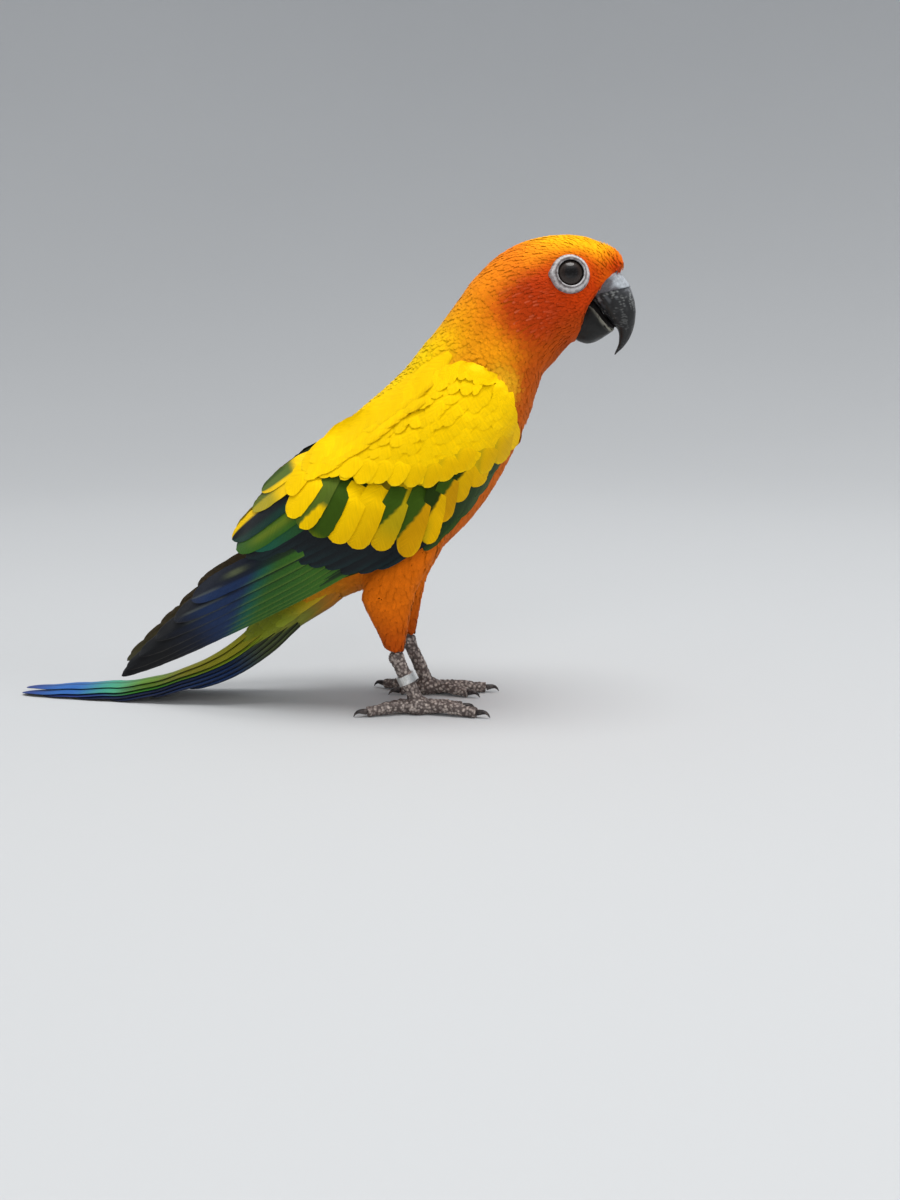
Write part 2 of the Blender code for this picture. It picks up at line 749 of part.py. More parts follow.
def make_leg_ring(side):
    heel = Vector((HEEL[0], side * HEEL[1], HEEL[2]))
    joint = Vector((TOE_JOINT[0], side * TOE_JOINT[1], TOE_JOINT[2]))
    axis = (heel - joint).normalized()
    inner = TARSUS_RADIUS + GAP
    outer = inner + RING_WALL
    half = RING_HEIGHT / 2
    bevel = 0.12
    profile = ((inner, -half), (outer - bevel, -half), (outer, -half + bevel),
               (outer, half - bevel), (outer - bevel, half), (inner, half))
    place = Matrix.Translation(heel.lerp(joint, RING_PLACE) * MM)
    place = place @ axis.to_track_quat("Z", "X").to_matrix().to_4x4()
    return turned("leg_ring", profile, RING_STEPS, place)


# Wings

class Sheet:
    """The surface that one wing's feathers lie on, over flesh that it clears."""

    def __init__(self, side, flesh):
        self.side = side
        self.lift = math.radians(WING_LIFT["right" if side < 0 else "left"])
        tilt = math.radians(WING_TILT)
        self.p_axis = (-math.cos(tilt), -math.sin(tilt))
        self.q_axis = (-math.sin(tilt), math.cos(tilt))
        self.trees = [BVHTree.FromPolygons([v.co / MM for v in obj.data.vertices],
                                           [tuple(f.vertices) for f in obj.data.polygons])
                      for obj in flesh]

    def frame(self, x, z):
        """The wing's own p and q at a point of the unlifted wing."""
        dx, dz = x - WRIST[0], z - WRIST[1]
        return (dx * self.p_axis[0] + dz * self.p_axis[1],
                dx * self.q_axis[0] + dz * self.q_axis[1])

    def place(self, p, q):
        """X and Z of a point of the wing, lifted about the shoulder."""
        dx = WRIST[0] + p * self.p_axis[0] + q * self.q_axis[0] - SHOULDER[0]
        dz = WRIST[1] + p * self.p_axis[1] + q * self.q_axis[1] - SHOULDER[1]
        c, s = math.cos(self.lift), math.sin(self.lift)
        return SHOULDER[0] + dx * c + dz * s, SHOULDER[1] - dx * s + dz * c

    def flesh(self, p, q):
        """How far out the flesh reaches at a point seen from the side."""
        x, z = self.place(p, q)
        best = 0.0
        for tree in self.trees:
            hit = tree.ray_cast(Vector((x, self.side * 60.0, z)), Vector((0, -self.side, 0)))
            if hit[0] is not None:
                best = max(best, abs(hit[0].y))
        return best

    def height(self, p, q):
        """How far out the wing's sheet lies."""
        low = along(LOW_EDGE, p)[0]
        top = along(TOP_EDGE, p)[0]
        over = min(1.0, max(0.0, (top - q) / (top - low)))
        at_top, middle, at_low = along(WING_WIDTHS, p)
        edge = at_top if over < 0.5 else at_low
        form = edge + (middle - edge) * math.sin(math.pi * over) ** 0.8
        rise = BED_THICK[0] + (BED_THICK[1] - BED_THICK[0]) * smooth(p, BED_SPAN[0], BED_RIM)
        rise *= 0.35 + 0.65 * smooth(over, 0.0, 0.3)
        body = self.flesh(p, q) + FLESH_CLEAR + max(rise, BED_THICK[0])
        blend = max(0.0, 1.0 - abs(form - body) / 3.0)
        return max(form, body) + 0.5 * blend * blend

    def point(self, p, q, out):
        """A point of space at p and q, a distance out from the bird's middle."""
        x, z = self.place(p, q)
        return (x, self.side * out, z)


def make_bed(sheet):
    """A plate under the feathers, over the front half of the folded wing."""
    columns, rows = BED_GRID
    outer, inner = [], []
    for i in range(columns + 1):
        p = BED_SPAN[0] + (BED_SPAN[1] - BED_SPAN[0]) * i / columns
        low = along(LOW_EDGE, p)[0] + BED_INSET
        top = along(TOP_EDGE, p)[0] - BED_INSET
        for j in range(rows + 1):
            q = low + (top - low) * j / rows
            y = sheet.height(p, q)
            swell = math.sin(math.pi * (j + 0.8) / (rows + 1.6))
            swell *= smooth(p, BED_SPAN[0] - 1.0, 4.0) * (1.0 - 0.6 * p / WING_LENGTH)
            base = max(sheet.flesh(p, q) + FLESH_CLEAR, y - BED_DEPTH - BED_SWELL * swell)
            outer.append(sheet.point(p, q, max(y, base + BED_LEAST)))
            inner.append(sheet.point(p, q, base))
    return slab(side_name("wing", sheet.side), outer, inner, columns + 1, rows + 1)


def slab(name, outer, inner, columns, rows):
    """A closed plate from two grids of points, split alike on both faces."""
    count = len(outer)
    points = outer + inner
    faces = []
    for i in range(columns - 1):
        for j in range(rows - 1):
            a = i * rows + j
            b, c, d = a + 1, a + rows + 1, a + rows
            faces += [(a, b, c), (a, c, d)]
            faces += [(a + count, c + count, b + count), (a + count, d + count, c + count)]
    rim = [i * rows for i in range(columns)]
    rim += [(columns - 1) * rows + j for j in range(1, rows)]
    rim += [i * rows + rows - 1 for i in range(columns - 2, -1, -1)]
    rim += list(range(rows - 2, 0, -1))
    for k, a in enumerate(rim):
        b = rim[(k + 1) % len(rim)]
        faces += [(a, b, b + count), (a, b + count, a + count)]
    return new_object(name, points, faces)


def vane_width(t, tip_start, root=0.55):
    """Relative width of a vane along its length, with a rounded tip."""
    grow = root + (1.0 - root) * smooth(t, 0.0, 0.35)
    if t <= tip_start:
        return grow
    fall = (t - tip_start) / (1.0 - tip_start)
    return grow * max(0.16, math.sqrt(max(0.0, 1.0 - fall * fall)))


def make_vane(sheet, kind, root, tip, webs, level, rise):
    """One feather of the wing, its low edge standing over the next one down."""
    steps = VANE_STEPS[kind]
    low, high = webs
    length = math.dist(root, tip)
    way = (tip - root) / length
    across = np.array((-way[1], way[0]))
    outer, inner = [], []
    for i in range(steps + 1):
        t = 1.0 - (1.0 - i / steps) ** 1.25
        bow = VANE_BOW * length * t * (1.0 - t)
        centre = root + way * length * t - across * bow
        wide = vane_width(t, TIP_START[kind])
        free = smooth(t, 0.02, ROOT_END)
        for v, part in ((-low, 1.0), (high, 0.0)):
            p, q = centre + across * v * wide
            out = sheet.height(p, q) + (level + rise * part) * free - ROOT_DEPTH * (1.0 - free)
            outer.append(sheet.point(p, q, out))
            inner.append(sheet.point(p, q, out - VANE_THICK))
    return slab(kind, outer, inner, steps + 1, 2)


def make_wing(side, flesh):
    sheet = Sheet(side, flesh)
    pieces = [make_bed(sheet)]
    for kind, count, tips, roots, low, high, level, rise in TIERS:
        for k in range(count):
            tip = share(tips, count, k) + np.array((rng.uniform(-0.6, 0.6), 0.0))
            pieces.append(make_vane(sheet, kind, share(roots, count, k), tip,
                                    (low, high), level, rise))
    return fuse(pieces)


# Tail

def tail_path(s):
    """Point of the tail's path in X and Z, and its slope, at a distance from its root."""
    slope = math.radians(TAIL_SLOPE)
    drop = TAIL_ROOT[1] - TAIL_FLOOR - TAIL_BEND * (1.0 - math.cos(slope))
    straight = drop / math.sin(slope)
    if s <= straight:
        return (TAIL_ROOT[0] - s * math.cos(slope), TAIL_ROOT[1] - s * math.sin(slope), slope)
    x = TAIL_ROOT[0] - straight * math.cos(slope)
    turn = min(slope, (s - straight) / TAIL_BEND)
    here = slope - turn
    x -= TAIL_BEND * (math.sin(slope) - math.sin(here))
    z = TAIL_FLOOR + TAIL_BEND * (1.0 - math.cos(here))
    x -= max(0.0, s - straight - TAIL_BEND * slope)
    return x, z, here


def tail_point(s, y, above):
    """A point at a distance along the tail, to its side and above its path."""
    x, z, slope = tail_path(s)
    roof = ROOF_DROP * (1.0 - smooth(s, 30.0, ROOF_END))
    n = above - roof * abs(y) ** 1.1
    return (x - n * math.sin(slope), y, max(0.0, z + n * math.cos(slope)))


def make_rectrix(k, side):
    """One tail feather; those of the outer pairs lie lowest."""
    length, start, spread, outer_web, inner_web = RECTRICES[k]
    outer, inner = [], []
    top = k == len(RECTRICES) - 1
    for i in range(TAIL_STEPS + 1):
        t = 1.0 - (1.0 - i / TAIL_STEPS) ** 1.15
        s = 24.0 + (length - 24.0) * t
        level = sum(LAYER * (1.0 - smooth(s, row[0] + 1.0, row[0] + 13.0))
                    for row in RECTRICES[:k])
        if top and side > 0:
            level += LAYER
        shaft = side * (start + (s - 24.0) * math.tan(math.radians(spread)))
        wide = vane_width(t, TAIL_TIP_START, 0.8)
        for v in (outer_web * side, 0.0, -inner_web * side):
            thick = VANE_THICK if v == 0.0 else VANE_EDGE
            y = shaft + v * wide
            if not top:
                y = side * max(MIDDLE_CLEAR, side * y)
            inner.append(tail_point(s, y, level - TAIL_FLOOR))
            outer.append(tail_point(s, y, level - TAIL_FLOOR + thick))
    return slab("rectrix", outer, inner, TAIL_STEPS + 1, 3)


def make_tail_covert(place, length, offset, half):
    outer, inner = [], []
    steps = 4
    base = 6.4 if place == "over" else -2.4
    if offset:
        base -= 0.9 if place == "over" else -0.9
    for i in range(steps + 1):
        t = i / steps
        s = 21.0 + (length - 21.0) * t
        wide = vane_width(t, 0.55, 0.9)
        for v in (-half, 0.0, half):
            y = offset + v * wide
            arch = 1.2 * (1.0 - (v / half) ** 2)
            lean = (1.6 - 1.8 * t) if place == "over" else (-2.2 + 1.6 * t)
            n = base + lean + (arch if place == "over" else 0.3 * arch)
            outer.append(tail_point(s, y, n + 0.6))
            inner.append(tail_point(s, y, n))
    return slab("covert", outer, inner, steps + 1, 3)


def make_tail():
    low, high = TAIL_CORE
    rings = []
    for i in range(6):
        t = i / 5
        s = low + (high - low) * t
        depth = 7.2 - 4.4 * t
        width = 9.6 - 3.0 * t
        ring = []
        for j in range(16):
            angle = 2.0 * math.pi * (j + 0.5) / 16
            x, z, slope = tail_path(s)
            n = 1.6 + depth * math.cos(angle)
            y = width * math.sin(angle)
            ring.append((x - n * math.sin(slope), y, z + n * math.cos(slope)))
        rings.append(ring)
    pieces = [loft("tail", rings)]
    for k in range(len(RECTRICES)):
        for side in (-1, 1):
            pieces.append(make_rectrix(k, side))
    for place, rows in TAIL_COVERTS.items():
        for length, offset, half in rows:
            pieces.append(make_tail_covert(place, length, offset, half))
    return fuse(pieces)


# Building the bird

def settle(obj, finish, home, parent):
    """Puts a finished piece in the bird's collection, under its parent."""
    bpy.context.scene.collection.objects.unlink(obj)
    home.objects.link(obj)
    obj.parent = parent
    obj.data.materials.clear()
    obj.data.materials.append(finish_material(finish))
    print(obj.name, sum(len(f.vertices) - 2 for f in obj.data.polygons))


def main():
    clear_scene()
    home, parent = make_home()
    done = []
    torso = make_torso()
    neck = make_neck()
    head = make_head()
    upper = make_upper_bill()
    done += [(torso, "breast_orange"), (neck, "neck_orange"), (head, "head_orange"),
             (upper, "bill_black"), (make_cere(), "cere_grey"),
             (make_lower_bill(upper), "bill_black"), (make_tail(), "tail_green")]
    for side in (-1, 1):
        foot = make_foot(side)
        tarsus = make_tarsus(side, foot)
        thigh = make_thigh(side, torso, tarsus)
        wing = make_wing(side, [torso, neck, thigh])
        for flesh in (torso, neck, thigh):
            carve(wing, grown(flesh, GAP * 1.15), solver="MANIFOLD")
        done += [(foot, "leg_grey"), (tarsus, "leg_grey"), (thigh, "thigh_orange"),
                 (wing, "wing_yellow"), (make_eye(side), "eye_dark"),
                 (make_lids(side), "lid_grey")]
        done += [(claw, "claw_dark") for claw in make_claws(side)]
    done.append((make_leg_ring(-1), "ring_metal"))
    for obj, finish in done:
        settle(obj, finish, home, parent)


main()
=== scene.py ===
# %% [markdown]
# # A sun conure, feather by feather
#
# A bird looks simple until you try to model it. Its outline is made by feathers,
# its colour changes from one feather to the next, and only the bill, the eyes, the
# bare lids and the feet show what is under the plumage. This lesson dresses a
# plain solid model of a sun conure. The solids stay where they are, and every
# piece made here lies on them.
#
# We start by loading the solids, which are in metres.

import itertools
import json
import math

import bpy
import numpy as np
from mathutils import Matrix, Vector
from mathutils.bvhtree import BVHTree

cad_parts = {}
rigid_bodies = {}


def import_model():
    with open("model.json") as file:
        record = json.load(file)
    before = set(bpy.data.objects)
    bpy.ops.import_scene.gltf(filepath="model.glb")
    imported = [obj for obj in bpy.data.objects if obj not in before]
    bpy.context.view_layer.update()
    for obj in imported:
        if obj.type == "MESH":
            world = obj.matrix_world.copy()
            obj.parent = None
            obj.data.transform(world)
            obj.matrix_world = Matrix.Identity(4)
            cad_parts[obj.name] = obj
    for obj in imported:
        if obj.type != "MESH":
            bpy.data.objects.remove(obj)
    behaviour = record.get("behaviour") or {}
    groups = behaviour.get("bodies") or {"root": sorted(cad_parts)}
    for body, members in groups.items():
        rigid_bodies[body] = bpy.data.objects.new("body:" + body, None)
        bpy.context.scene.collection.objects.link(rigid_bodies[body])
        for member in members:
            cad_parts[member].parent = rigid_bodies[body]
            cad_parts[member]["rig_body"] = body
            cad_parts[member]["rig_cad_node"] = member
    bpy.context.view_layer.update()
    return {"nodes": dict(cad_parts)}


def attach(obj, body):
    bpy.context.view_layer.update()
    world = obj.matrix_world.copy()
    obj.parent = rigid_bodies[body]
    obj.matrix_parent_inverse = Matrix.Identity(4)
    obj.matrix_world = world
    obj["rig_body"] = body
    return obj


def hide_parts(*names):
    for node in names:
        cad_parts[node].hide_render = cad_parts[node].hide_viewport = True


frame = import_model()

# %% [markdown]
# ## Units and colours
#
# A bird is easiest to think of in millimetres. In the bird's own numbers the floor
# is at height 0, the feet stand near x = 0, the bill points along +X and the right
# side is -Y. One function turns them into the metres of the shared frame.
#
# Colours are written as on a paint chart, from 0 to 255, and turned into the
# linear numbers that a shader takes.

# %% Units, colours and small helpers
MM = 0.001
MIDDLE_X = 31.8
SIDES = ((-1, "right"), (1, "left"))
rng = np.random.default_rng(20)


def to_row(points):
    """Bird millimetres to metres of the shared frame."""
    return (np.asarray(points, float) + (MIDDLE_X, 0.0, 0.0)) * MM


def to_bird(points):
    return np.asarray(points, float) / MM - (MIDDLE_X, 0.0, 0.0)


def paint(red, green, blue):
    """A paint-chart colour as linear numbers."""
    chart = np.array((red, green, blue)) / 255.0
    return np.where(chart <= 0.04045, chart / 12.92, ((chart + 0.055) / 1.055) ** 2.4)


def smooth(value, low, high):
    t = np.clip((value - low) / (high - low), 0.0, 1.0)
    return t * t * (3.0 - 2.0 * t)


def mixed(first, second, share):
    """Two colours mixed; share is one number or one for each point."""
    share = np.asarray(share, float)[..., None]
    return first * (1.0 - share) + second * share


def layered(colour, *coats):
    """Coats of paint, each a colour and its share, laid one over the other."""
    for tint, share in coats:
        colour = mixed(colour, tint, share)
    return colour


def mirrored(points):
    """The points with all of them turned to the left side."""
    return points * (1, 0, 1) + np.abs(points) * (0, 1, 0)


def unit(vectors):
    return vectors / np.maximum(np.linalg.norm(vectors, axis=-1, keepdims=True), 1e-9)


def rows_at(rows, places):
    """Smooth rows between the listed ones, at places such as 2.5."""
    rows = np.asarray(rows, float)
    last = len(rows) - 1
    places = np.clip(np.asarray(places, float), 0.0, last)
    i = np.minimum(places.astype(int), last - 1)
    t = (places - i)[..., None]
    a, b, c, d = (rows[np.clip(i + k, 0, last)] for k in (-1, 0, 1, 2))
    return 0.5 * (2 * b + (c - a) * t + (2 * a - 5 * b + 4 * c - d) * t ** 2
                  + (3 * b - a - 3 * c + d) * t ** 3)


def read(table, values):
    """The columns of a table, read between its rows by its first column."""
    table = np.asarray(table, float)
    return [np.interp(values, table[:, 0], table[:, c]) for c in range(1, table.shape[1])]


# %% [markdown]
# ## The camera and the studio
#
# The photograph looks at the bird's right side from a little above and a little
# towards its breast. The same view is set first, so that every later step can be
# judged in it. A wide bowl with a pale, softly curved wall stands round the bird,
# so no horizon cuts the picture from any side. Large area lights give the soft
# light of a cloudy day: most of it from above, some from the side that is seen.

# %% Camera
TARGET = Vector((0.0432, 0.0, 0.03465))
BACK = Vector((0.10294, -0.97941, 0.17365))
DISTANCE = 0.52
LENS, SENSOR = 48.0, 36.0


def added(name, data):
    """A new object of the scene, made from a mesh, a lamp or a camera."""
    obj = bpy.data.objects.new(name, data)
    bpy.context.scene.collection.objects.link(obj)
    return obj


camera = added("camera", bpy.data.cameras.new("camera"))
camera.data.lens = LENS
camera.data.sensor_width = SENSOR
camera.data.clip_start = 0.01
camera.location = TARGET + BACK * DISTANCE
camera.rotation_euler = BACK.to_track_quat("Z", "Y").to_euler()
bpy.context.scene.camera = camera


# %% Studio bowl and lights
def only(obj):
    """Selects one object and makes it active."""
    bpy.ops.object.select_all(action="DESELECT")
    obj.select_set(True)
    bpy.context.view_layer.objects.active = obj


def in_edit_mode(obj, *steps):
    """Selects all of an object before each step that is done to it in edit mode."""
    only(obj)
    bpy.ops.object.mode_set(mode="EDIT")
    for step in steps:
        bpy.ops.mesh.select_all(action="SELECT")
        step()
    bpy.ops.object.mode_set(mode="OBJECT")


def merge(distance=1e-6):
    return lambda: bpy.ops.mesh.remove_doubles(threshold=distance)


def face_outwards():
    bpy.ops.mesh.normals_make_consistent(inside=False)


def spun(name, profile, steps):
    """A profile of (radius, height) spun about Z by the spin tool."""
    mesh = bpy.data.meshes.new(name)
    closed = profile[0] == profile[-1]
    rows = profile[:-1] if closed else profile
    edges = [(i, i + 1) for i in range(len(rows) - 1)]
    if closed:
        edges.append((len(rows) - 1, 0))
    mesh.from_pydata([(r, 0.0, h) for r, h in rows], edges, [])
    obj = added(name, mesh)
    in_edit_mode(obj, lambda: bpy.ops.mesh.spin(steps=steps, angle=math.tau, center=(0, 0, 0),
                                                axis=(0, 0, 1)), merge(), face_outwards)
    bpy.ops.object.shade_smooth()
    return obj


BOWL_FLAT, BOWL_CURVE = 0.7, 2.4
bowl_profile = [(0.0, 0.0), (BOWL_FLAT * 0.5, 0.0), (BOWL_FLAT, 0.0)]
bowl_profile += [(BOWL_FLAT + BOWL_CURVE * math.sin(a), BOWL_CURVE * (1.0 - math.cos(a)))
                 for a in np.linspace(0.06, 1.5, 22)]
bowl_profile += [(BOWL_FLAT + BOWL_CURVE, 3.2)]
bowl = spun("studio_bowl", bowl_profile, 48)

LIGHTS = (
    # name, place, size, watts, colour, and whether shiny things mirror it
    ("top_light", (0.25, -0.15, 1.7), 1.1, 26.0, (1.0, 0.99, 0.97), True),
    ("side_light", (0.35, -1.6, 0.8), 1.3, 10.0, (1.0, 0.98, 0.95), False),
    ("front_light", (1.5, -0.5, 0.7), 0.9, 4.0, (0.97, 0.98, 1.0), False),
)
LIT_PLACE = Vector((0.0, 0.0, 0.08))
for name, place, size, watts, colour, mirrored_in_gloss in LIGHTS:
    lamp = bpy.data.lights.new(name, "AREA")
    lamp.shape = "DISK"
    lamp.size = size
    lamp.energy = watts
    lamp.color = colour
    light = added(name, lamp)
    light.location = place
    aim = Vector(place) - LIT_PLACE
    light.rotation_euler = aim.to_track_quat("Z", "Y").to_euler()
    light.visible_glossy = mirrored_in_gloss

world = bpy.data.worlds.new("soft_sky")
world.use_nodes = True
sky = world.node_tree.nodes["Background"]
sky.inputs["Color"].default_value = (0.90, 0.94, 1.0, 1.0)
sky.inputs["Strength"].default_value = 0.6
bpy.context.scene.world = world
bpy.context.scene.view_settings.view_transform = "Standard"
print("camera at", [round(c, 3) for c in camera.location], "and", len(LIGHTS), "lights")


# %% [markdown]
# ## Finishes
#
# All plumage takes its colour from the mesh: each point carries a tint that says
# which colour the bird has there. The material adds what is too fine to model,
# the barbs. They are hair-thin rods that leave the shaft at a slant, so the vane
# material draws them from a map that says how far a point is along and across its
# own feather. Soft body feathers get a fine grain and a slight velvet sheen.

# %% Material helpers
WHITE = (1.0, 1.0, 1.0)


def new_material(name, roughness, specular=0.5, sheen=0.0, coat=0.0, metal=0.0, glint=WHITE):
    """A plain shader; glint is the colour of its reflections and its sheen."""
    material = bpy.data.materials.new(name)
    material.use_nodes = True
    shader = material.node_tree.nodes["Principled BSDF"]
    for socket, value in (("Roughness", roughness), ("Specular IOR Level", specular),
                          ("Specular Tint", (*glint, 1.0)), ("Sheen Weight", sheen),
                          ("Sheen Tint", (*glint, 1.0)), ("Sheen Roughness", 0.4),
                          ("Coat Weight", coat), ("Coat Roughness", 0.04), ("Metallic", metal)):
        shader.inputs[socket].default_value = value
    return material, shader


def plug(material, socket, value):
    """Gives a socket a value, or links it to the output of another node."""
    if isinstance(value, bpy.types.NodeSocket):
        material.node_tree.links.new(value, socket)
    else:
        socket.default_value = value


def node(material, kind, operation=None, **sockets):
    """A new node; its sockets are given by name, or by number as i0, i1 and so on."""
    made = material.node_tree.nodes.new("ShaderNode" + kind)
    if operation:
        made.operation = operation
    for key, value in sockets.items():
        place = int(key[1:]) if key[0] == "i" and key[1:].isdigit() else key.replace("_", " ")
        plug(material, made.inputs[place], value)
    return made


def maths(material, operation, first, second=0.0):
    return node(material, "Math", operation, i0=first, i1=second).outputs[0]


def vectors(material, operation, first, second=(0.0, 0.0, 0.0)):
    return node(material, "VectorMath", operation, i0=first, i1=second).outputs


def blend_colours(material, share, first, second, mode="MIX"):
    made = material.node_tree.nodes.new("ShaderNodeMix")
    made.data_type = "RGBA"
    made.blend_type = mode
    for place, value in ((0, share), (6, first), (7, second)):
        plug(material, made.inputs[place], value)
    return made.outputs[2]


def noise(material, scale, detail=3.0, vector=None):
    if vector is None:
        vector = node(material, "TexCoord").outputs["Object"]
    return node(material, "TexNoise", Scale=scale, Detail=detail, Vector=vector).outputs["Fac"]


def spread(material, value, low, high, to_low=0.0, to_high=1.0):
    return node(material, "MapRange", i0=value, i1=low, i2=high, i3=to_low, i4=to_high).outputs[0]


def grain(material, scale, detail, dark, light, low=0.3, high=0.7):
    """A noise that goes from the number dark to the number light."""
    return spread(material, noise(material, scale, detail), low, high, dark, light)


def bumped(material, shader, height, depth, strength):
    made = node(material, "Bump", Strength=strength, Distance=depth, Height=height)
    plug(material, shader.inputs["Normal"], made.outputs[0])


def shade_tint(material, shader, shade):
    """The base colour is the mesh's own tint, made lighter and darker by shade."""
    tint = material.node_tree.nodes.new("ShaderNodeAttribute")
    tint.attribute_name = "tint"
    colour = blend_colours(material, 1.0, tint.outputs["Color"], shade, "MULTIPLY")
    plug(material, shader.inputs["Base Color"], colour)


# %% Soft plumage and vanes
WARM_GLINT = (1.0, 0.72, 0.25)
BARB_SLANT = 1.3
BARBS_PER_MM = 11.0


def make_soft_plumage():
    material, shader = new_material("plumage_soft", 0.8, 0.2, sheen=0.08, glint=WARM_GLINT)
    cloud = grain(material, 240.0, 2.0, 0.94, 1.05)
    fine = grain(material, 2600.0, 2.0, 0.93, 1.06)
    shade_tint(material, shader, maths(material, "MULTIPLY", cloud, fine))
    bumped(material, shader, noise(material, 3000.0, 2.0), 0.00008, 0.4)
    return material


def make_vane_plumage(name, roughness, specular, depth, glint=WHITE):
    """Barbs run from the shaft towards the edge at a slant, on both sides of it."""
    material, shader = new_material(name, roughness, specular, sheen=0.04, glint=glint)

    def times(value, factor):
        return maths(material, "MULTIPLY", value, factor)

    place = node(material, "UVMap")
    place.uv_map = "Vane"
    parts = node(material, "SeparateXYZ", i0=place.outputs[0]).outputs
    aside = maths(material, "ABSOLUTE", parts[0])
    slant = maths(material, "SUBTRACT", parts[1], times(aside, BARB_SLANT))
    wobble = times(noise(material, 420.0, 2.0), 0.9)
    barbs = maths(material, "SINE", times(maths(material, "ADD", slant, wobble), BARBS_PER_MM))
    flat = node(material, "CombineXYZ", i0=times(slant, 3.0), i1=times(aside, 0.25))
    streak = noise(material, 1.0, 3.0, flat.outputs[0])
    shade_tint(material, shader, spread(material, streak, 0.3, 0.7, 0.88, 1.1))
    bumped(material, shader, maths(material, "ADD", times(barbs, 0.3), times(streak, 1.6)), depth, 0.55)
    return material


soft_plumage = make_soft_plumage()
covert_plumage = make_vane_plumage("plumage_covert", 0.7, 0.2, 0.00005, WARM_GLINT)
flight_plumage = make_vane_plumage("plumage_flight", 0.5, 0.2, 0.00006)
print("plumage finishes:", soft_plumage.name, covert_plumage.name, flight_plumage.name)


# %% [markdown]
# ## Gathering many small shapes
#
# Thousands of feathers are made as numbers first. Each kind of feather is one
# small closed template, and numpy bends a copy of it for every place. A gatherer
# keeps the points, faces, tints and maps, and builds one mesh from them. Smooth
# shading uses normals that we give, so that thin, overlapping feathers are lit
# like a soft surface and not like splinters.

# %% A gatherer of small shapes
def tint_mesh(mesh, colours):
    """Writes one colour for each point of a mesh."""
    tint = mesh.attributes.new("tint", "FLOAT_COLOR", "POINT")
    filled = np.column_stack((np.clip(colours, 0.0, 1.0), np.ones(len(colours))))
    tint.data.foreach_set("color", filled.astype(np.float32).ravel())


def dressed(obj, material, slot, *nodes):
    """A finished piece of the bird: material, body and the solids it stands for. The slot is not used.
    """
    obj.data.materials.clear()
    obj.data.materials.append(material)
    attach(obj, "root")
    if nodes:
        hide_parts(*nodes)
    print(obj.name, sum(len(f.vertices) - 2 for f in obj.data.polygons), "triangles")
    return obj


class Flock:
    """Collects blocks of equal small closed shapes and makes one mesh of them."""

    def __init__(self, name):
        self.name = name
        self.points, self.faces, self.tints, self.vanes = [], [], [], []
        self.bakes, self.normals = [], []
        self.total = 0
        self.shapes = 0

    def add(self, points, triangles, tints, vanes, bakes, normals):
        """Arrays are shapes x points x columns; bakes are places in the 0 to 1 square."""
        shapes, count = points.shape[:2]
        first = points[0]
        a, b, c = (first[triangles[:, k]] for k in range(3))
        if np.einsum("ij,ij->i", a - first[0], np.cross(b - first[0], c - first[0])).sum() < 0:
            triangles = triangles[:, ::-1]
        starts = self.total + np.arange(shapes)[:, None, None] * count
        self.faces.append((triangles[None] + starts).reshape(-1, 3))
        for store, values in ((self.points, points), (self.tints, tints), (self.vanes, vanes),
                              (self.bakes, bakes), (self.normals, normals)):
            values = np.broadcast_to(values, (shapes, count, values.shape[-1]))
            store.append(values.reshape(-1, values.shape[-1]))
        self.total += shapes * count
        self.shapes += shapes

    def build(self, material, slot, *nodes):
        faces = np.concatenate(self.faces).astype(np.int32)
        corners = faces.ravel()
        mesh = bpy.data.meshes.new(self.name)
        mesh.vertices.add(self.total)
        mesh.vertices.foreach_set("co", to_row(np.concatenate(self.points)).astype(np.float32).ravel())
        mesh.loops.add(len(corners))
        mesh.loops.foreach_set("vertex_index", corners)
        mesh.polygons.add(len(faces))
        mesh.polygons.foreach_set("loop_start", np.arange(0, len(corners), 3, dtype=np.int32))
        mesh.update(calc_edges=True)
        mesh.polygons.foreach_set("use_smooth", np.ones(len(faces), bool))
        tint_mesh(mesh, np.concatenate(self.tints))
        for layer, stored in (("OFBake", self.bakes), ("Vane", self.vanes)):
            uv = mesh.uv_layers.new(name=layer)
            uv.data.foreach_set("uv", np.concatenate(stored)[corners].astype(np.float32).ravel())
        mesh.normals_split_custom_set_from_vertices(unit(np.concatenate(self.normals)))
        return dressed(added(self.name, mesh), material, slot, *nodes)


# %% [markdown]
# ## The line of the back
#
# A body is easiest to describe by a line through its middle, from the root of the
# tail to the face, with the size of the body at each station. The same stations
# built the solids. They tell each feather which way is backwards, whether it sits
# on the back or on the belly, and where on the bird it is.

# %% Stations and places on the body
# centre x, centre z, half depth, half width, tilt of the spine, fuller belly
STATIONS = (
    (-37.6, 36.8, 8.2, 10.4, 41.0, 0.00), (-32.6, 43.0, 11.6, 13.2, 41.0, 0.00),
    (-26.8, 49.3, 15.4, 16.2, 41.5, 0.02), (-19.8, 56.6, 20.4, 18.6, 44.0, 0.03),
    (-10.4, 67.1, 24.4, 20.2, 48.5, 0.04), (-3.0, 75.4, 25.6, 21.0, 51.5, 0.05),
    (5.1, 84.4, 24.6, 21.2, 54.0, 0.05), (13.8, 95.3, 22.0, 20.2, 55.5, 0.05),
    (20.5, 106.5, 20.2, 18.0, 56.0, 0.04), (24.5, 113.5, 18.8, 16.6, 53.0, 0.02),
    (27.5, 118.3, 18.5, 15.9, 44.0, 0.00), (30.8, 123.5, 18.7, 15.6, 34.5, 0.00),
    (36.0, 127.9, 19.2, 15.4, 26.0, 0.02), (41.8, 131.8, 18.2, 15.1, 17.0, 0.04),
    (49.4, 133.8, 16.8, 13.8, 1.0, 0.05), (55.0, 132.6, 15.9, 10.3, -14.0, 0.02),
    (59.6, 130.6, 13.2, 6.0, -30.0, 0.00),
)
FINE_PLACES = np.linspace(0.0, 16.0, 161)
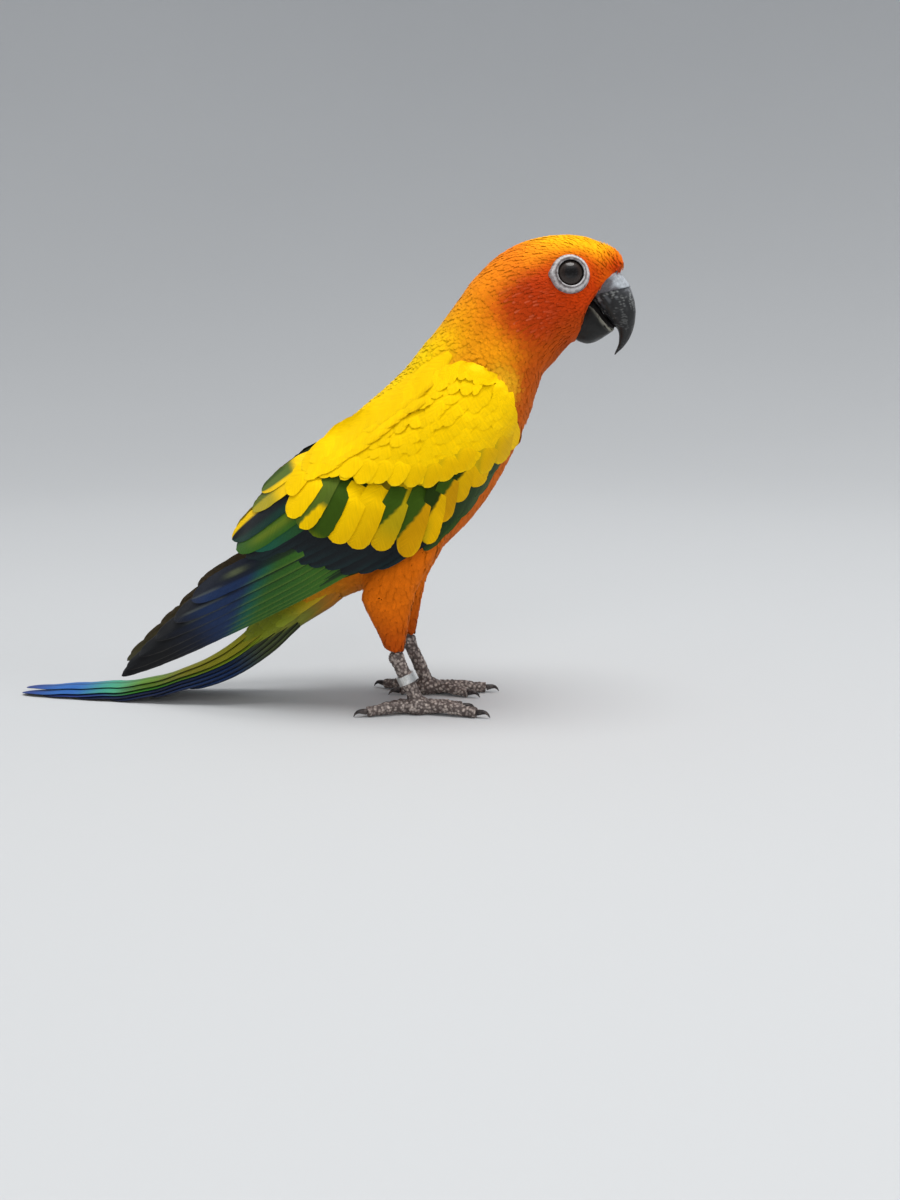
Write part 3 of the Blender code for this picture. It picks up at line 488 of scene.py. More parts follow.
NEARNESS = 40.0
CHUNK = 4000
fine_rows = rows_at(STATIONS, FINE_PLACES)
spine_tilt = np.radians(fine_rows[:, 4])


def in_side_plane(x, z):
    return np.column_stack((x, np.zeros(len(x)), z))


spine_points = in_side_plane(fine_rows[:, 0], fine_rows[:, 1])
spine_back = in_side_plane(-np.cos(spine_tilt), -np.sin(spine_tilt))
spine_up = in_side_plane(-np.sin(spine_tilt), np.cos(spine_tilt))


def on_body(points):
    """For each point: its place along the body, the way backwards, and how far it is
    to the back (1) or to the belly (-1). Done in chunks, to save memory."""
    points = np.asarray(points, float)
    found = []
    for start in range(0, len(points), CHUNK):
        part = points[start:start + CHUNK]
        far = (((part * (1.0, 0.0, 1.0))[:, None] - spine_points[None]) ** 2).sum(2)
        weight = np.exp(-(far - far.min(1, keepdims=True)) / NEARNESS)
        weight /= weight.sum(1, keepdims=True)
        rise = np.einsum("ij,ij->i", part - weight @ spine_points, unit(weight @ spine_up))
        back = rise / np.maximum(np.hypot(rise, part[:, 1]), 1.0)
        found.append((weight @ FINE_PLACES, unit(weight @ spine_back), back))
    return [np.concatenate(values) for values in zip(*found)]


# %% [markdown]
# ## The colours of the plumage
#
# A sun conure is golden on the crown, nape and back, and orange-red on the
# forehead, the cheeks, the breast and the belly. The colours flow into each other,
# so they are written as three runs along the body, over the back, the side and
# the belly, and then a few places are painted over them, as with a soft brush.

# %% Painting the body
GOLD = paint(254, 178, 6)
FLAME = paint(206, 62, 10)
# place along the body, then red, green and blue over the back, side and belly
BACK_RUN = [(0.0, 200, 180, 20), (1.5, 250, 200, 4), (8.4, 254, 208, 2), (9.3, 252, 190, 6),
            (10.2, 249, 166, 14), (11.4, 247, 142, 20), (12.8, 244, 128, 22), (14.0, 250, 156, 16),
            (15.4, 254, 168, 10), (16.0, 240, 116, 12)]
# The side run at the flank and the whole belly run are darker than the bird's own orange: partly
# painted shade of the underside.
SIDE_RUN = [(0.0, 196, 136, 22), (4.0, 204, 100, 16), (7.6, 214, 116, 18), (8.8, 236, 158, 20),
            (10.0, 242, 152, 16), (11.0, 236, 130, 18), (11.9, 206, 82, 16), (12.8, 182, 56, 15),
            (14.0, 178, 52, 13), (16.0, 198, 58, 11)]
BELLY_RUN = [(0.0, 140, 132, 34), (1.6, 178, 112, 24), (3.0, 198, 90, 14), (7.0, 204, 96, 18),
             (9.0, 190, 84, 18), (10.5, 190, 80, 15), (12.0, 182, 74, 13), (14.0, 176, 66, 12),
             (16.0, 180, 60, 12)]
# place, radii and softness of each spot, its colour and strength
SPOTS = (
    ((53.0, 0.0, 150.5), (14.0, 11.5, 6.6), 0.40, GOLD, 1.0),
    ((63.5, 0.0, 138.5), (5.5, 9.0, 5.0), 0.55, FLAME, 1.0),
    ((53.0, 12.0, 136.5), (12.0, 9.0, 8.5), 0.35, FLAME, 0.9),
    ((40.5, 14.0, 128.5), (9.5, 8.0, 9.5), 0.45, paint(180, 54, 16), 0.75),
    ((30.0, 9.0, 107.5), (5.5, 11.0, 6.5), 0.35, paint(240, 176, 30), 0.85),
)
# The thigh's orange, and a darker orange for its lower part: partly painted shade, darker towards the
# bottom.
THIGH_PAINT = (paint(214, 104, 12), paint(172, 70, 13))


def run_colour(run, places):
    run = np.asarray(run, float)
    colours = np.array([paint(*row[1:]) for row in run])
    return np.column_stack([np.interp(places, run[:, 0], colours[:, c]) for c in range(3)])


def body_colour(points, places, back):
    colour = layered(run_colour(SIDE_RUN, places),
                     (run_colour(BACK_RUN, places), smooth(back, 0.25, 0.85)),
                     (run_colour(BELLY_RUN, places), smooth(-back, 0.2, 0.85)))
    for centre, radii, soft, spot, strength in SPOTS:
        far = np.linalg.norm((mirrored(points) - centre) / radii, axis=1)
        colour = mixed(colour, spot, strength * (1.0 - smooth(far, 1.0 - soft, 1.0 + soft)))
    return colour


# %% [markdown]
# ## One skin under the feathers
#
# The solids of the body meet with thin gaps, which would show as seams. The skin
# is one closed surface instead: copies of the solids are pushed out until they
# overlap, remeshed into one, smoothed, and then drawn in by the depth of the coat.
# The coat is thin on the face and thicker on the body. A flat pad fills each eye
# socket first, so that no hole is left behind the lids.

# %% Making the skin
FLESH = ("torso", "neck", "head", "thigh_right", "thigh_left")
EYE = np.array((49.2, 11.7, 137.95))
EYE_LOOK = Vector((math.sin(math.radians(12.0)), 1.0, math.sin(math.radians(13.0)))).normalized()
EYE_PAD = (7.2, 7.2, 2.0)
SWELL = 0.35
VOXEL = 1.0


def free_copy(node_name, name):
    """A copy of a CAD node as a free object, its split corners merged again."""
    twin = frame["nodes"][node_name].copy()
    twin.data = twin.data.copy()
    twin.name = name
    twin.parent = None
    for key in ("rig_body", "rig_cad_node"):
        if key in twin:
            del twin[key]
    bpy.context.scene.collection.objects.link(twin)
    in_edit_mode(twin, merge(), bpy.ops.mesh.customdata_custom_splitnormals_clear)
    return twin


def add_modifier(obj, kind, **settings):
    """Adds a modifier, sets it and applies it at once."""
    only(obj)
    made = obj.modifiers.new(kind.lower(), kind)
    for key, value in settings.items():
        setattr(made, key, value)
    bpy.ops.object.modifier_apply(modifier=made.name)


def remeshed(obj, voxel, rounds):
    """Turns closed bodies into one even skin, and smooths away the steps."""
    add_modifier(obj, "REMESH", mode="VOXEL", voxel_size=voxel * MM, use_smooth_shade=True)
    add_modifier(obj, "SMOOTH", factor=0.5, iterations=rounds)


def joined(pieces, name):
    only(pieces[0])
    for piece in pieces:
        piece.select_set(True)
    bpy.ops.object.join()
    pieces[0].name = name
    return pieces[0]


def eye_place(side, out=0.0):
    """Places a shape made about Z on an eye, so that Z is the way the eye looks."""
    look = Vector((EYE_LOOK.x, side * EYE_LOOK.y, EYE_LOOK.z))
    centre = Vector(to_row(EYE * (1, side, 1))) + look * out * MM
    return Matrix.Translation(centre) @ look.to_track_quat("Z", "X").to_matrix().to_4x4()


def points_of(obj):
    co = np.empty(len(obj.data.vertices) * 3, np.float32)
    obj.data.vertices.foreach_get("co", co)
    return co.reshape(-1, 3).astype(float)


def normals_of(obj):
    values = np.empty(len(obj.data.vertices) * 3, np.float32)
    obj.data.vertex_normals.foreach_get("vector", values)
    return values.reshape(-1, 3).astype(float)


def move_points(obj, points):
    obj.data.vertices.foreach_set("co", points.astype(np.float32).ravel())
    obj.data.update()


def push_out(obj, height):
    """Moves each point outwards by its height in millimetres."""
    move_points(obj, points_of(obj) + normals_of(obj) * (height * MM)[:, None])


def coat_depth(places):
    return np.interp(places, [0.0, 8.6, 11.4, 13.0, 15.0, 16.0], [0.85, 0.85, 0.6, 0.45, 0.35, 0.3])


def make_skin():
    copies = [free_copy(name, "skin_" + name) for name in FLESH]
    for copy in copies:
        add_modifier(copy, "DISPLACE", strength=SWELL * MM, mid_level=0.0)
    for side, _ in SIDES:
        bpy.ops.mesh.primitive_uv_sphere_add(segments=32, ring_count=16, radius=MM)
        pad = bpy.context.object
        pad.data.transform(eye_place(side, -0.8) @ Matrix.Diagonal((*EYE_PAD, 1.0)))
        copies.append(pad)
    skin = joined(copies, "skin")
    remeshed(skin, VOXEL, 4)
    places = on_body(to_bird(points_of(skin)))[0]
    push_out(skin, -(SWELL + coat_depth(places)))
    return skin


skin = make_skin()
print("skin has", len(skin.data.polygons), "faces")


# %% Painting and placing the skin
def tree_of(points, polygons):
    return BVHTree.FromPolygons([Vector(p) for p in points], polygons)


def node_tree(name):
    obj = frame["nodes"][name]
    return tree_of(to_bird(points_of(obj)), [tuple(f.vertices) for f in obj.data.polygons])


flesh_trees = {name: node_tree(name) for name in FLESH}
THIGH_TOP = 66.0


def thigh_share(points):
    """0 on the body and 1 on a thigh, soft between them."""
    shares = np.zeros(len(points))
    low = points[:, 2] <= THIGH_TOP
    for i in np.nonzero(low)[0]:
        leg = flesh_trees["thigh_right" if points[i, 1] < 0 else "thigh_left"]
        near_body = flesh_trees["torso"].find_nearest(points[i])[3]
        shares[i] = near_body - leg.find_nearest(points[i])[3]
    return smooth(shares, -1.0, 3.0) * (points[:, 2] < THIGH_TOP)


def flesh_colour(points, places, back, leg):
    colour = body_colour(points, places, back)
    # the thigh grows darker towards its bottom: partly painted shade
    thigh = mixed(*THIGH_PAINT, smooth(-points[:, 2], -44.0, -22.0))
    return mixed(colour, thigh, leg)


def body_map(points, places, leg):
    """The skin unrolled: along the body and round it, with the thighs beside it."""
    turn = np.arctan2(points[:, 1], points[:, 2] - np.interp(places, FINE_PLACES, spine_points[:, 2]))
    u = 0.02 + 0.74 * places / 16.0
    v = 0.02 + 0.96 * (turn / math.tau + 0.5)
    side = np.where(points[:, 1] < 0, 0.0, 0.5)
    leg_turn = np.arctan2(points[:, 0] + 4.0, np.abs(points[:, 1]) - 14.0)
    on_leg = leg > 0.5
    u = np.where(on_leg, 0.80 + 0.18 * np.clip((points[:, 2] - 16.0) / 50.0, 0, 1), u)
    v = np.where(on_leg, side + 0.02 + 0.46 * (leg_turn / math.tau + 0.5), v)
    return np.column_stack((u, v))


skin_points = to_bird(points_of(skin))
skin_places, _, skin_back = on_body(skin_points)
skin_leg = thigh_share(skin_points)
# The skin is painted a little darker than the coat: painted shade in the gaps between the feathers.
tint_mesh(skin.data, flesh_colour(skin_points, skin_places, skin_back, skin_leg) * 0.95)
dressed(skin, soft_plumage, "body_feathers", *FLESH)
skin_faces = [tuple(f.vertices) for f in skin.data.polygons]
skin_tree = tree_of(skin_points, skin_faces)
skin_normals = normals_of(skin)

# %% [markdown]
# ## A wing is a sheet with tiles on it
#
# The folded wing lies on the flank like a curved sheet. Every wing feather has a
# place on that sheet, so we give it two numbers of its own: p runs from the bend
# of the wing to its tip and q runs towards the back. The sheet is as wide as the
# folded pair of wings, and clears the flesh wherever that is wider. To keep it
# fast, its height is measured once on a grid with rays, and read from there.

# %% The sheet of a folded wing
WRIST = (24.0, 100.0)
SHOULDER = (15.0, 95.0)
WING_TILT = math.radians(36.8)
WING_LIFT = {"right": 3.5, "left": 4.6}
LOW_EDGE = ((-7.8, -1.0), (-6.2, -6.0), (-2.4, -11.6), (2.0, -15.5), (7.0, -19.0), (14.0, -22.6),
            (22.0, -25.6), (36.0, -27.4), (46.0, -27.2), (69.0, -22.2), (87.0, -20.0),
            (102.0, -17.8), (128.0, -12.6), (152.0, -9.0))
TOP_EDGE = ((-7.8, 3.6), (-5.8, 9.4), (-2.6, 13.6), (3.4, 16.6), (20.0, 15.4), (28.0, 14.6),
            (41.0, 16.0), (51.0, 19.0), (61.0, 20.0), (72.0, 17.6), (80.0, 13.8), (97.0, 5.8),
            (128.0, -3.0), (152.0, -8.0))
# half widths of the pair of wings along p: top edge, fullest line, low edge
WING_WIDTHS = ((-20.0, 0.0, 0.0, 0.0), (20.0, 8.0, 12.0, 8.0), (32.0, 13.0, 23.0, 21.0),
               (45.0, 10.5, 23.6, 21.4), (60.0, 7.5, 22.6, 20.4), (75.0, 5.2, 20.4, 18.4),
               (90.0, 4.0, 17.2, 15.6), (105.0, 3.0, 14.0, 12.6), (120.0, 2.9, 11.0, 9.9),
               (135.0, 3.0, 8.6, 7.8), (155.0, 3.4, 6.4, 6.0))
FLESH_CLEAR = 0.6
SHEET_STEP = 1.5


def wing_edges(p):
    """The low and the top edge of the wing, as q at each p."""
    return read(LOW_EDGE, p)[0], read(TOP_EDGE, p)[0]


def turned(dx, dz, angle):
    c, s = math.cos(angle), math.sin(angle)
    return dx * c + dz * s, dz * c - dx * s


class WingSheet:
    """The surface that one wing's feathers lie on."""

    def __init__(self, side):
        self.side = side
        self.name = "right" if side < 0 else "left"
        self.lift = math.radians(WING_LIFT[self.name])
        self.p_ticks = np.arange(-20.0, 160.0, SHEET_STEP)
        self.q_ticks = np.arange(-36.0, 30.0, SHEET_STEP)
        p, q = np.meshgrid(self.p_ticks, self.q_ticks, indexing="ij")
        low, top = wing_edges(p)
        over = np.clip((top - q) / (top - low), 0.0, 1.0)
        at_top, middle, at_low = read(WING_WIDTHS, p)
        edge = np.where(over < 0.5, at_top, at_low)
        form = edge + (middle - edge) * np.sin(math.pi * over) ** 0.8
        rise = 0.7 + 1.7 * smooth(p, -10.0, 15.0)
        rise = np.maximum(rise * (0.35 + 0.65 * smooth(over, 0.0, 0.3)), 0.7)
        body = self.flesh(p, q) + FLESH_CLEAR + rise
        nearness = np.clip(1.0 - np.abs(form - body) / 3.0, 0.0, 1.0)
        table = np.maximum(form, body) + 0.5 * nearness ** 2
        for _ in range(2):
            ring = np.pad(table, 1, mode="edge")
            table = (ring[:-2, 1:-1] + ring[2:, 1:-1] + ring[1:-1, :-2] + ring[1:-1, 2:]
                     + 2.0 * table) / 6.0
        self.table = table

    def place(self, p, q):
        """X and Z at p and q, with the wing lifted about the shoulder."""
        c, s = math.cos(WING_TILT), math.sin(WING_TILT)
        dx = WRIST[0] - p * c - q * s - SHOULDER[0]
        dz = WRIST[1] - p * s + q * c - SHOULDER[1]
        dx, dz = turned(dx, dz, self.lift)
        return SHOULDER[0] + dx, SHOULDER[1] + dz

    def where(self, x, z):
        """p and q of a point seen from the side."""
        dx, dz = turned(x - SHOULDER[0], z - SHOULDER[1], -self.lift)
        back, up = turned(dx + SHOULDER[0] - WRIST[0], dz + SHOULDER[1] - WRIST[1], WING_TILT)
        return -back, up

    def flesh(self, p, q):
        x, z = self.place(p, q)
        reach = np.zeros(p.size)
        across = Vector((0.0, -self.side, 0.0))
        trees = [flesh_trees[name] for name in ("torso", "neck", "thigh_" + self.name)]
        for i, (px, pz) in enumerate(zip(x.ravel(), z.ravel())):
            for tree in trees:
                hit = tree.ray_cast(Vector((px, self.side * 60.0, pz)), across)[0]
                if hit is not None:
                    reach[i] = max(reach[i], abs(hit.y))
        return reach.reshape(p.shape)

    def height(self, p, q):
        """How far out the sheet lies, read from the grid."""
        i = np.clip((p - self.p_ticks[0]) / SHEET_STEP, 0, len(self.p_ticks) - 1.001)
        j = np.clip((q - self.q_ticks[0]) / SHEET_STEP, 0, len(self.q_ticks) - 1.001)
        i0, j0 = i.astype(int), j.astype(int)
        s, t = i - i0, j - j0
        table = self.table
        return ((table[i0, j0] * (1 - s) + table[i0 + 1, j0] * s) * (1 - t)
                + (table[i0, j0 + 1] * (1 - s) + table[i0 + 1, j0 + 1] * s) * t)

    def point(self, p, q, out):
        x, z = self.place(p, q)
        return np.stack((x, self.side * out, z), -1)


sheets = {side: WingSheet(side) for side, _ in SIDES}
print("wing sheets:", sheets[1].table.shape,
      "heights up to", round(float(sheets[1].table.max()), 1), "mm")

# %% [markdown]
# ## A vane
#
# A flight feather is a stiff shaft with a flat vane on each side, the outer one
# narrow and the inner one wide. Its template is a thin closed plate: a grid of
# points for the upper face and one for the lower face, joined round the rim. The
# width grows from the root and closes in a rounded tip. The shaft stands up as a
# fine ridge, and the rim is slightly ragged, as no real feather is perfect.

# %% The template of a vane
def vane_template(across, along):
    """Places u (-1 to 1) and v (0 to 1) of a closed plate, upper face first, and its faces."""
    u = np.linspace(-1.0, 1.0, across)
    u = np.sign(u) * np.abs(u) ** 0.9
    v = 1.0 - (1.0 - np.linspace(0.0, 1.0, along)) ** 1.35
    grid_v, grid_u = np.meshgrid(v, u, indexing="ij")
    count = across * along
    faces = []
    for i in range(along - 1):
        for j in range(across - 1):
            a = i * across + j
            b, c, d = a + 1, a + across + 1, a + across
            faces += [(a, b, c), (a, c, d), (a + count, c + count, b + count),
                      (a + count, d + count, c + count)]
    rim = list(range(across)) + [i * across + across - 1 for i in range(1, along)]
    rim += [(along - 1) * across + j for j in range(across - 2, -1, -1)]
    rim += [i * across for i in range(along - 2, 0, -1)]
    for k, a in enumerate(rim):
        b = rim[(k + 1) % len(rim)]
        faces += [(b, a, a + count), (b, a + count, b + count)]
    return grid_u, grid_v, np.array(faces)


def vane_width(v, tip_start, root=0.5, grown=0.3):
    """Relative width along a vane, which is full from grown on, with a rounded tip."""
    grow = root + (1.0 - root) * smooth(v, 0.0, grown)
    fall = np.clip((v - tip_start) / (1.0 - tip_start), 0.0, 1.0)
    return grow * np.maximum(0.05, np.sqrt(np.maximum(0.0, 1.0 - fall ** 2.5)))


def grid_normals(points, side):
    """Normals of a grid of points, shapes x along x across x 3, turned outwards."""
    normals = unit(np.cross(np.gradient(points, axis=1), np.gradient(points, axis=2)))
    flip = np.sign((normals * side).sum((1, 2, 3)))
    return normals * np.where(flip == 0, 1.0, flip)[:, None, None, None]


def bake_tiles(count, u, v, first, total):
    """A tile of the unit square for each feather: its upper face left, lower face right."""
    side = math.ceil(math.sqrt(total))
    number = np.arange(first, first + count)
    corner = np.stack((number % side, number // side), -1)[:, None, :] / side
    flat_u, flat_v = (u.ravel() + 1.0) / 2.0, v.ravel()
    upper = np.stack((0.03 + 0.44 * flat_u, 0.04 + 0.92 * flat_v), -1)
    return corner + np.concatenate((upper, upper + (0.5, 0.0)))[None] / side


def two_faced(upper, lower, normals, across, along):
    """Points, normals and vane places of thin plates, from their two faces as grids."""
    def in_rows(grid):
        return grid.reshape(len(grid), -1, grid.shape[-1])

    vane = in_rows(np.stack((across, along), -1))
    return (np.concatenate((in_rows(upper), in_rows(lower)), 1),
            np.concatenate((in_rows(normals), -in_rows(normals)), 1), np.concatenate((vane, vane), 1))


def jitter(colour, amount):
    """One slight change of brightness for each feather."""
    return colour * rng.normal(1.0, amount, (len(colour), 1, 1))


def lay_plate(flock, template, upper, lower, facing, vane, colours, number, total, amount):
    """Adds one plate; colours are those of its upper and its lower face."""
    u, v, faces = template
    normals = grid_normals(upper[None], facing)
    points, both, places = two_faced(upper[None], lower[None], normals, vane[0][None], vane[1][None])
    colours = np.concatenate(colours)[None]
    if amount:
        colours = jitter(colours, amount)
    flock.add(points, faces, colours, places, bake_tiles(1, u, v, number, total), both)


# %% [markdown]
# ## The tiers of the wing
#
# From the wing's bend to its tip the feathers come in tiers, each lying over the
# roots of the next, like tiles: small coverts, median coverts, the big greater
# coverts, then the secondaries and the long primaries. In a folded wing the inner
# feather of a tier lies over the outer one, so each shows its low edge. The places
# below are where the root and the tip of each feather lie on the sheet.

# %% Feathers of the wing
# root and tip in p and q, low web, high web, colour pattern
PRIMARIES = [
    ((52.0, -21.5), (139.5, -12.2), 1.5, 5.0), ((54.0, -20.0), (146.5, -10.8), 1.8, 5.0),
    ((55.0, -18.4), (151.5, -9.4), 2.0, 5.0), ((55.5, -16.6), (149.0, -8.2), 2.2, 5.0),
    ((56.0, -14.8), (142.5, -6.8), 2.3, 5.2), ((56.5, -12.8), (134.5, -5.2), 2.4, 5.2),
    ((57.0, -10.4), (125.5, -3.4), 2.6, 5.2), ((57.5, -7.6), (116.5, -1.0), 2.8, 5.0),
]
PRIMARY_COVERTS = [
    ((26.0, -24.5), (56.0, -24.4), 2.0, 4.0), ((29.0, -23.0), (62.0, -22.4), 2.2, 4.2),
    ((32.0, -21.0), (66.8, -19.6), 2.4, 4.4), ((35.0, -18.5), (70.0, -15.6), 2.6, 4.6),
    ((38.0, -15.5), (74.0, -12.0), 2.8, 4.6),
]
SECONDARIES = [
    ((42.0, -12.5), (77.5, -8.6), 3.0, 4.8), ((44.0, -9.5), (81.0, -5.6), 3.0, 4.8),
    ((46.0, -6.5), (84.5, -3.2), 3.0, 4.8), ((48.0, -3.5), (88.5, -0.6), 3.0, 4.8),
    ((50.0, -0.5), (91.0, 1.0), 3.0, 5.0),
]
TERTIALS = [
    ((52.0, 1.5), (87.5, 1.8), 3.6, 4.6, "teal"), ((56.0, 5.5), (94.0, 4.6), 4.2, 4.8, "green"),
    ((58.0, 10.0), (94.5, 8.0), 3.4, 4.2, "dark"), ((56.0, 13.2), (83.0, 12.2), 2.4, 3.4, "striped"),
    ((54.0, 16.4), (77.0, 15.6), 2.2, 2.6, "mossy"),
]
GREATER_COVERTS = [
    ((4.0, -7.5), (17.4, -19.6), 3.2, 3.2, "plain"), ((11.0, -8.5), (24.5, -20.4), 3.2, 3.6, "half"),
    ((17.0, -9.0), (31.5, -23.0), 3.2, 3.6, "deep"), ((22.0, -9.5), (38.5, -26.4), 3.2, 3.8, "half"),
    ((27.0, -9.5), (46.6, -25.8), 3.8, 4.6, "deep"), ((33.0, -6.5), (52.8, -19.4), 4.2, 4.6, "tinged"),
    ((38.5, -2.5), (58.8, -14.8), 4.5, 5.0, "plain"), ((43.5, 0.5), (63.0, -10.0), 4.4, 5.0, "plain"),
    ((47.0, 5.5), (67.2, -5.0), 4.8, 5.2, "green"), ((48.5, 9.0), (69.4, -0.8), 3.8, 4.4, "split"),
    ((51.0, 11.5), (71.0, 4.4), 3.6, 3.8, "plain"), ((54.0, 15.0), (68.0, 10.6), 3.0, 3.4, "plain"),
]
MEDIAN_COVERTS = [
    ((-3.5, -6.0), (7.6, -18.0), 3.0, 3.4), ((1.5, -6.8), (13.0, -17.6), 3.2, 3.6),
    ((6.5, -3.6), (18.6, -13.0), 3.6, 4.0), ((12.0, -3.4), (24.2, -12.4), 3.6, 4.0),
    ((17.0, -2.6), (29.2, -11.4), 3.6, 4.0), ((21.5, 0.0), (33.4, -8.4), 3.6, 4.0),
    ((25.5, 3.0), (37.4, -5.4), 3.6, 4.0), ((29.5, 5.6), (41.4, -2.0), 3.6, 4.0),
    ((33.5, 8.4), (46.2, 1.0), 3.8, 4.0), ((36.5, 11.0), (49.6, 5.6), 3.8, 4.0),
    ((40.0, 13.6), (54.0, 10.6), 3.4, 3.8), ((46.0, 16.4), (60.0, 14.2), 3.2, 3.4),
]
EDGE_FEATHERS = [
    ((16.0, -18.5), (40.5, -27.6), 2.4, 3.2), ((10.0, -15.6), (34.0, -26.6), 2.4, 3.2),
    ((4.0, -12.6), (27.0, -25.2), 2.4, 3.0), ((-1.0, -9.6), (19.0, -22.6), 2.2, 2.8),
    ((-5.0, -6.0), (11.0, -19.2), 2.0, 2.6),
]


THICK = 0.16


def shaped(sheet, root, tip, low, high, level, rise, tip_start, bow, u, v, free_end=0.4, sink=0.8,
           camber=0.3, ragged=0.02, root_width=0.5, calm=0.35, grown=0.3, early=0.22):
    """Bends the vane template onto the sheet for many feathers at once.

    The high web rounds off earlier than the low one, by early."""
    root, tip = np.asarray(root, float), np.asarray(tip, float)
    length = np.linalg.norm(tip - root, axis=1)
    way = (tip - root) / length[:, None]
    across = np.stack((-way[:, 1], way[:, 0]), -1)
    count = len(root)
    column = (slice(None), None, None)
    low, high, level, rise = (np.broadcast_to(np.asarray(x, float), (count,))[column]
                              for x in (low, high, level, rise))
    wide = np.where(u > 0, vane_width(v, tip_start - early, root_width, grown),
                    vane_width(v, tip_start, root_width, grown))[None] * np.ones((count, 1, 1))
    edge = np.abs(u)[None] ** 3
    noise_rim = rng.normal(0.0, ragged, (count,) + u.shape) * smooth(v, 0.3, 0.8)[None]
    wide = wide * (1.0 + noise_rim * edge)
    web = np.where(u[None] < 0, low, high) * u[None] * wide
    centre = (root[:, None, None] + way[:, None, None] * (length[column] * v[None])[..., None]
              - across[:, None, None] * (bow * length[column] * (v * (1 - v))[None])[..., None])
    place = centre + across[:, None, None] * web[..., None]
    p, q = place[..., 0], place[..., 1]
    free = smooth(v, 0.02, free_end)[None]
    over = (1.0 - u[None]) / 2.0
    out = (sheet.height(p, q) + (level + rise * over) * free - sink * (1.0 - free)
           + camber * (1.0 - u[None] ** 2) * free
           + 0.10 * np.exp(-(u[None] / 0.07) ** 2) * (1.0 - v[None]))
    depth = THICK * (0.4 + 0.6 * (1.0 - np.abs(u[None])))
    upper = sheet.point(p, q, out)
    lower = sheet.point(p, q, out - depth)
    outwards = np.array((0.0, sheet.side, 0.0))
    calm_normals = grid_normals(sheet.point(p, q, sheet.height(p, q)), outwards)
    normals = unit(mixed(grid_normals(upper, outwards), calm_normals, calm))
    mm_along = length[column] * v[None] * np.ones((count, 1, 1))
    return (*two_faced(upper, lower, normals, web, mm_along),
            p.reshape(count, -1), q.reshape(count, -1))


# %% [markdown]
# ## The colours of the wing
#
# The coverts are bright yellow, but many hide a dark green half that shows in the
# gaps. The greater coverts change one by one, some yellow, some green, some both.
# The secondaries are blue-black. The primaries start green and turn deep blue and
# then almost black towards the tip. All this is a matter of where a point is, on
# its own feather and on the wing.

# %% Painting the wing
WING_YELLOW = paint(250, 203, 0)
# a darker, warmer yellow, laid over the lower coverts as painted shade, darker towards the wing's low
# edge
SHADED_YELLOW = paint(204, 154, 2)
DEEP_YELLOW = paint(184, 130, 4)
# a paler yellow, laid on the tips and edges of coverts as a painted highlight
HIGHLIGHT_YELLOW = paint(242, 210, 26)
LEAF = paint(50, 78, 18)
DEEP_LEAF = paint(30, 52, 16)
MOSS = paint(116, 128, 20)
NAVY = paint(15, 21, 25)
INK = paint(12, 13, 16)
BLUE = paint(22, 42, 78)
TEAL = paint(20, 82, 62)
GRASS = paint(52, 96, 24)
OLIVE = paint(140, 138, 24)


def covert_colour(row, u, v, p, q):
    """Colours of the greater coverts, by the feather's own pattern."""
    pattern = row[4]
    # darker towards the low edge of the wing: painted shade
    base = mixed(WING_YELLOW, SHADED_YELLOW, smooth(-q, -2.0, 20.0) * 0.8)
    # paler edges near the tip: painted highlight
    edge_highlight = (HIGHLIGHT_YELLOW, smooth(np.abs(u), 0.7, 1.0) * smooth(v, 0.6, 1.0) * 0.25)

    def wedge(start, end, low, high):
        """The dark upper half, which narrows to nothing towards the tip."""
        border = start + (end - start) * np.clip((v - low) / (high - low), 0.0, 1.0)
        return smooth(u - border, -0.05, 0.05)

    if pattern == "plain":
        return layered(base, edge_highlight)
    if pattern == "deep":
        return layered(base, (DEEP_YELLOW, 0.8), (LEAF, wedge(-0.5, 1.1, 0.3, 0.9)), edge_highlight)
    if pattern == "half":
        return layered(base, (MOSS, 0.35 * smooth(v, 0.5, 0.9) * smooth(u, -0.4, 0.4)),
                       (DEEP_LEAF, wedge(-0.5, 1.1, 0.3, 0.95)))
    if pattern == "tinged":
        return layered(base, (MOSS, 0.45 * (1.0 - smooth(v, 0.55, 0.95)) + 0.1),
                       (LEAF, wedge(-0.45, 1.1, 0.3, 0.95)))
    if pattern == "green":
        return layered(LEAF, (DEEP_LEAF, smooth(u, -0.1, 0.3) * 0.6), (MOSS, smooth(v, 0.9, 1.0) * 0.4))
    return layered(base, (paint(84, 104, 36), 1.0 - smooth(v, 0.5, 0.62)),
                   (paint(84, 106, 34), wedge(-0.5, 0.5, 0.5, 1.1)))


def tertial_colour(row, u, v, p, q):
    pattern = row[4]
    if pattern == "teal":
        return layered(paint(30, 74, 34), (TEAL, smooth(v, 0.5, 0.9)), (NAVY, smooth(u, 0.0, 0.3)))
    if pattern == "green":
        stripe = np.exp(-((u + 0.3) / 0.3) ** 2) * (1.0 - smooth(v, 0.7, 0.95)) * 0.6
        return layered(paint(50, 92, 22), (MOSS, stripe),
                       (paint(20, 60, 40), smooth(u, 0.3, 0.6) * 0.8))
    if pattern == "dark":
        return layered(NAVY, (TEAL, smooth(-u, 0.1, 0.6) * 0.35),
                       (WING_YELLOW, smooth(u, 0.45, 0.6) * smooth(v, 0.25, 0.4)))
    if pattern == "mossy":
        return layered(WING_YELLOW, (paint(92, 112, 42), smooth(v, 0.3, 0.45) * smooth(u, -0.5, -0.3)),
                       (paint(50, 74, 30), smooth(u, 0.5, 0.7) * smooth(v, 0.4, 0.6) * 0.8))
    return layered(WING_YELLOW, (paint(150, 152, 40), smooth(v, 0.5, 0.7) * 0.7),
                   (paint(92, 110, 40), smooth(u, 0.2, 0.35) * smooth(v, 0.35, 0.5) * 0.9),
                   (INK, smooth(u, 0.8, 0.9) * smooth(v, 0.3, 0.5) * 0.7))


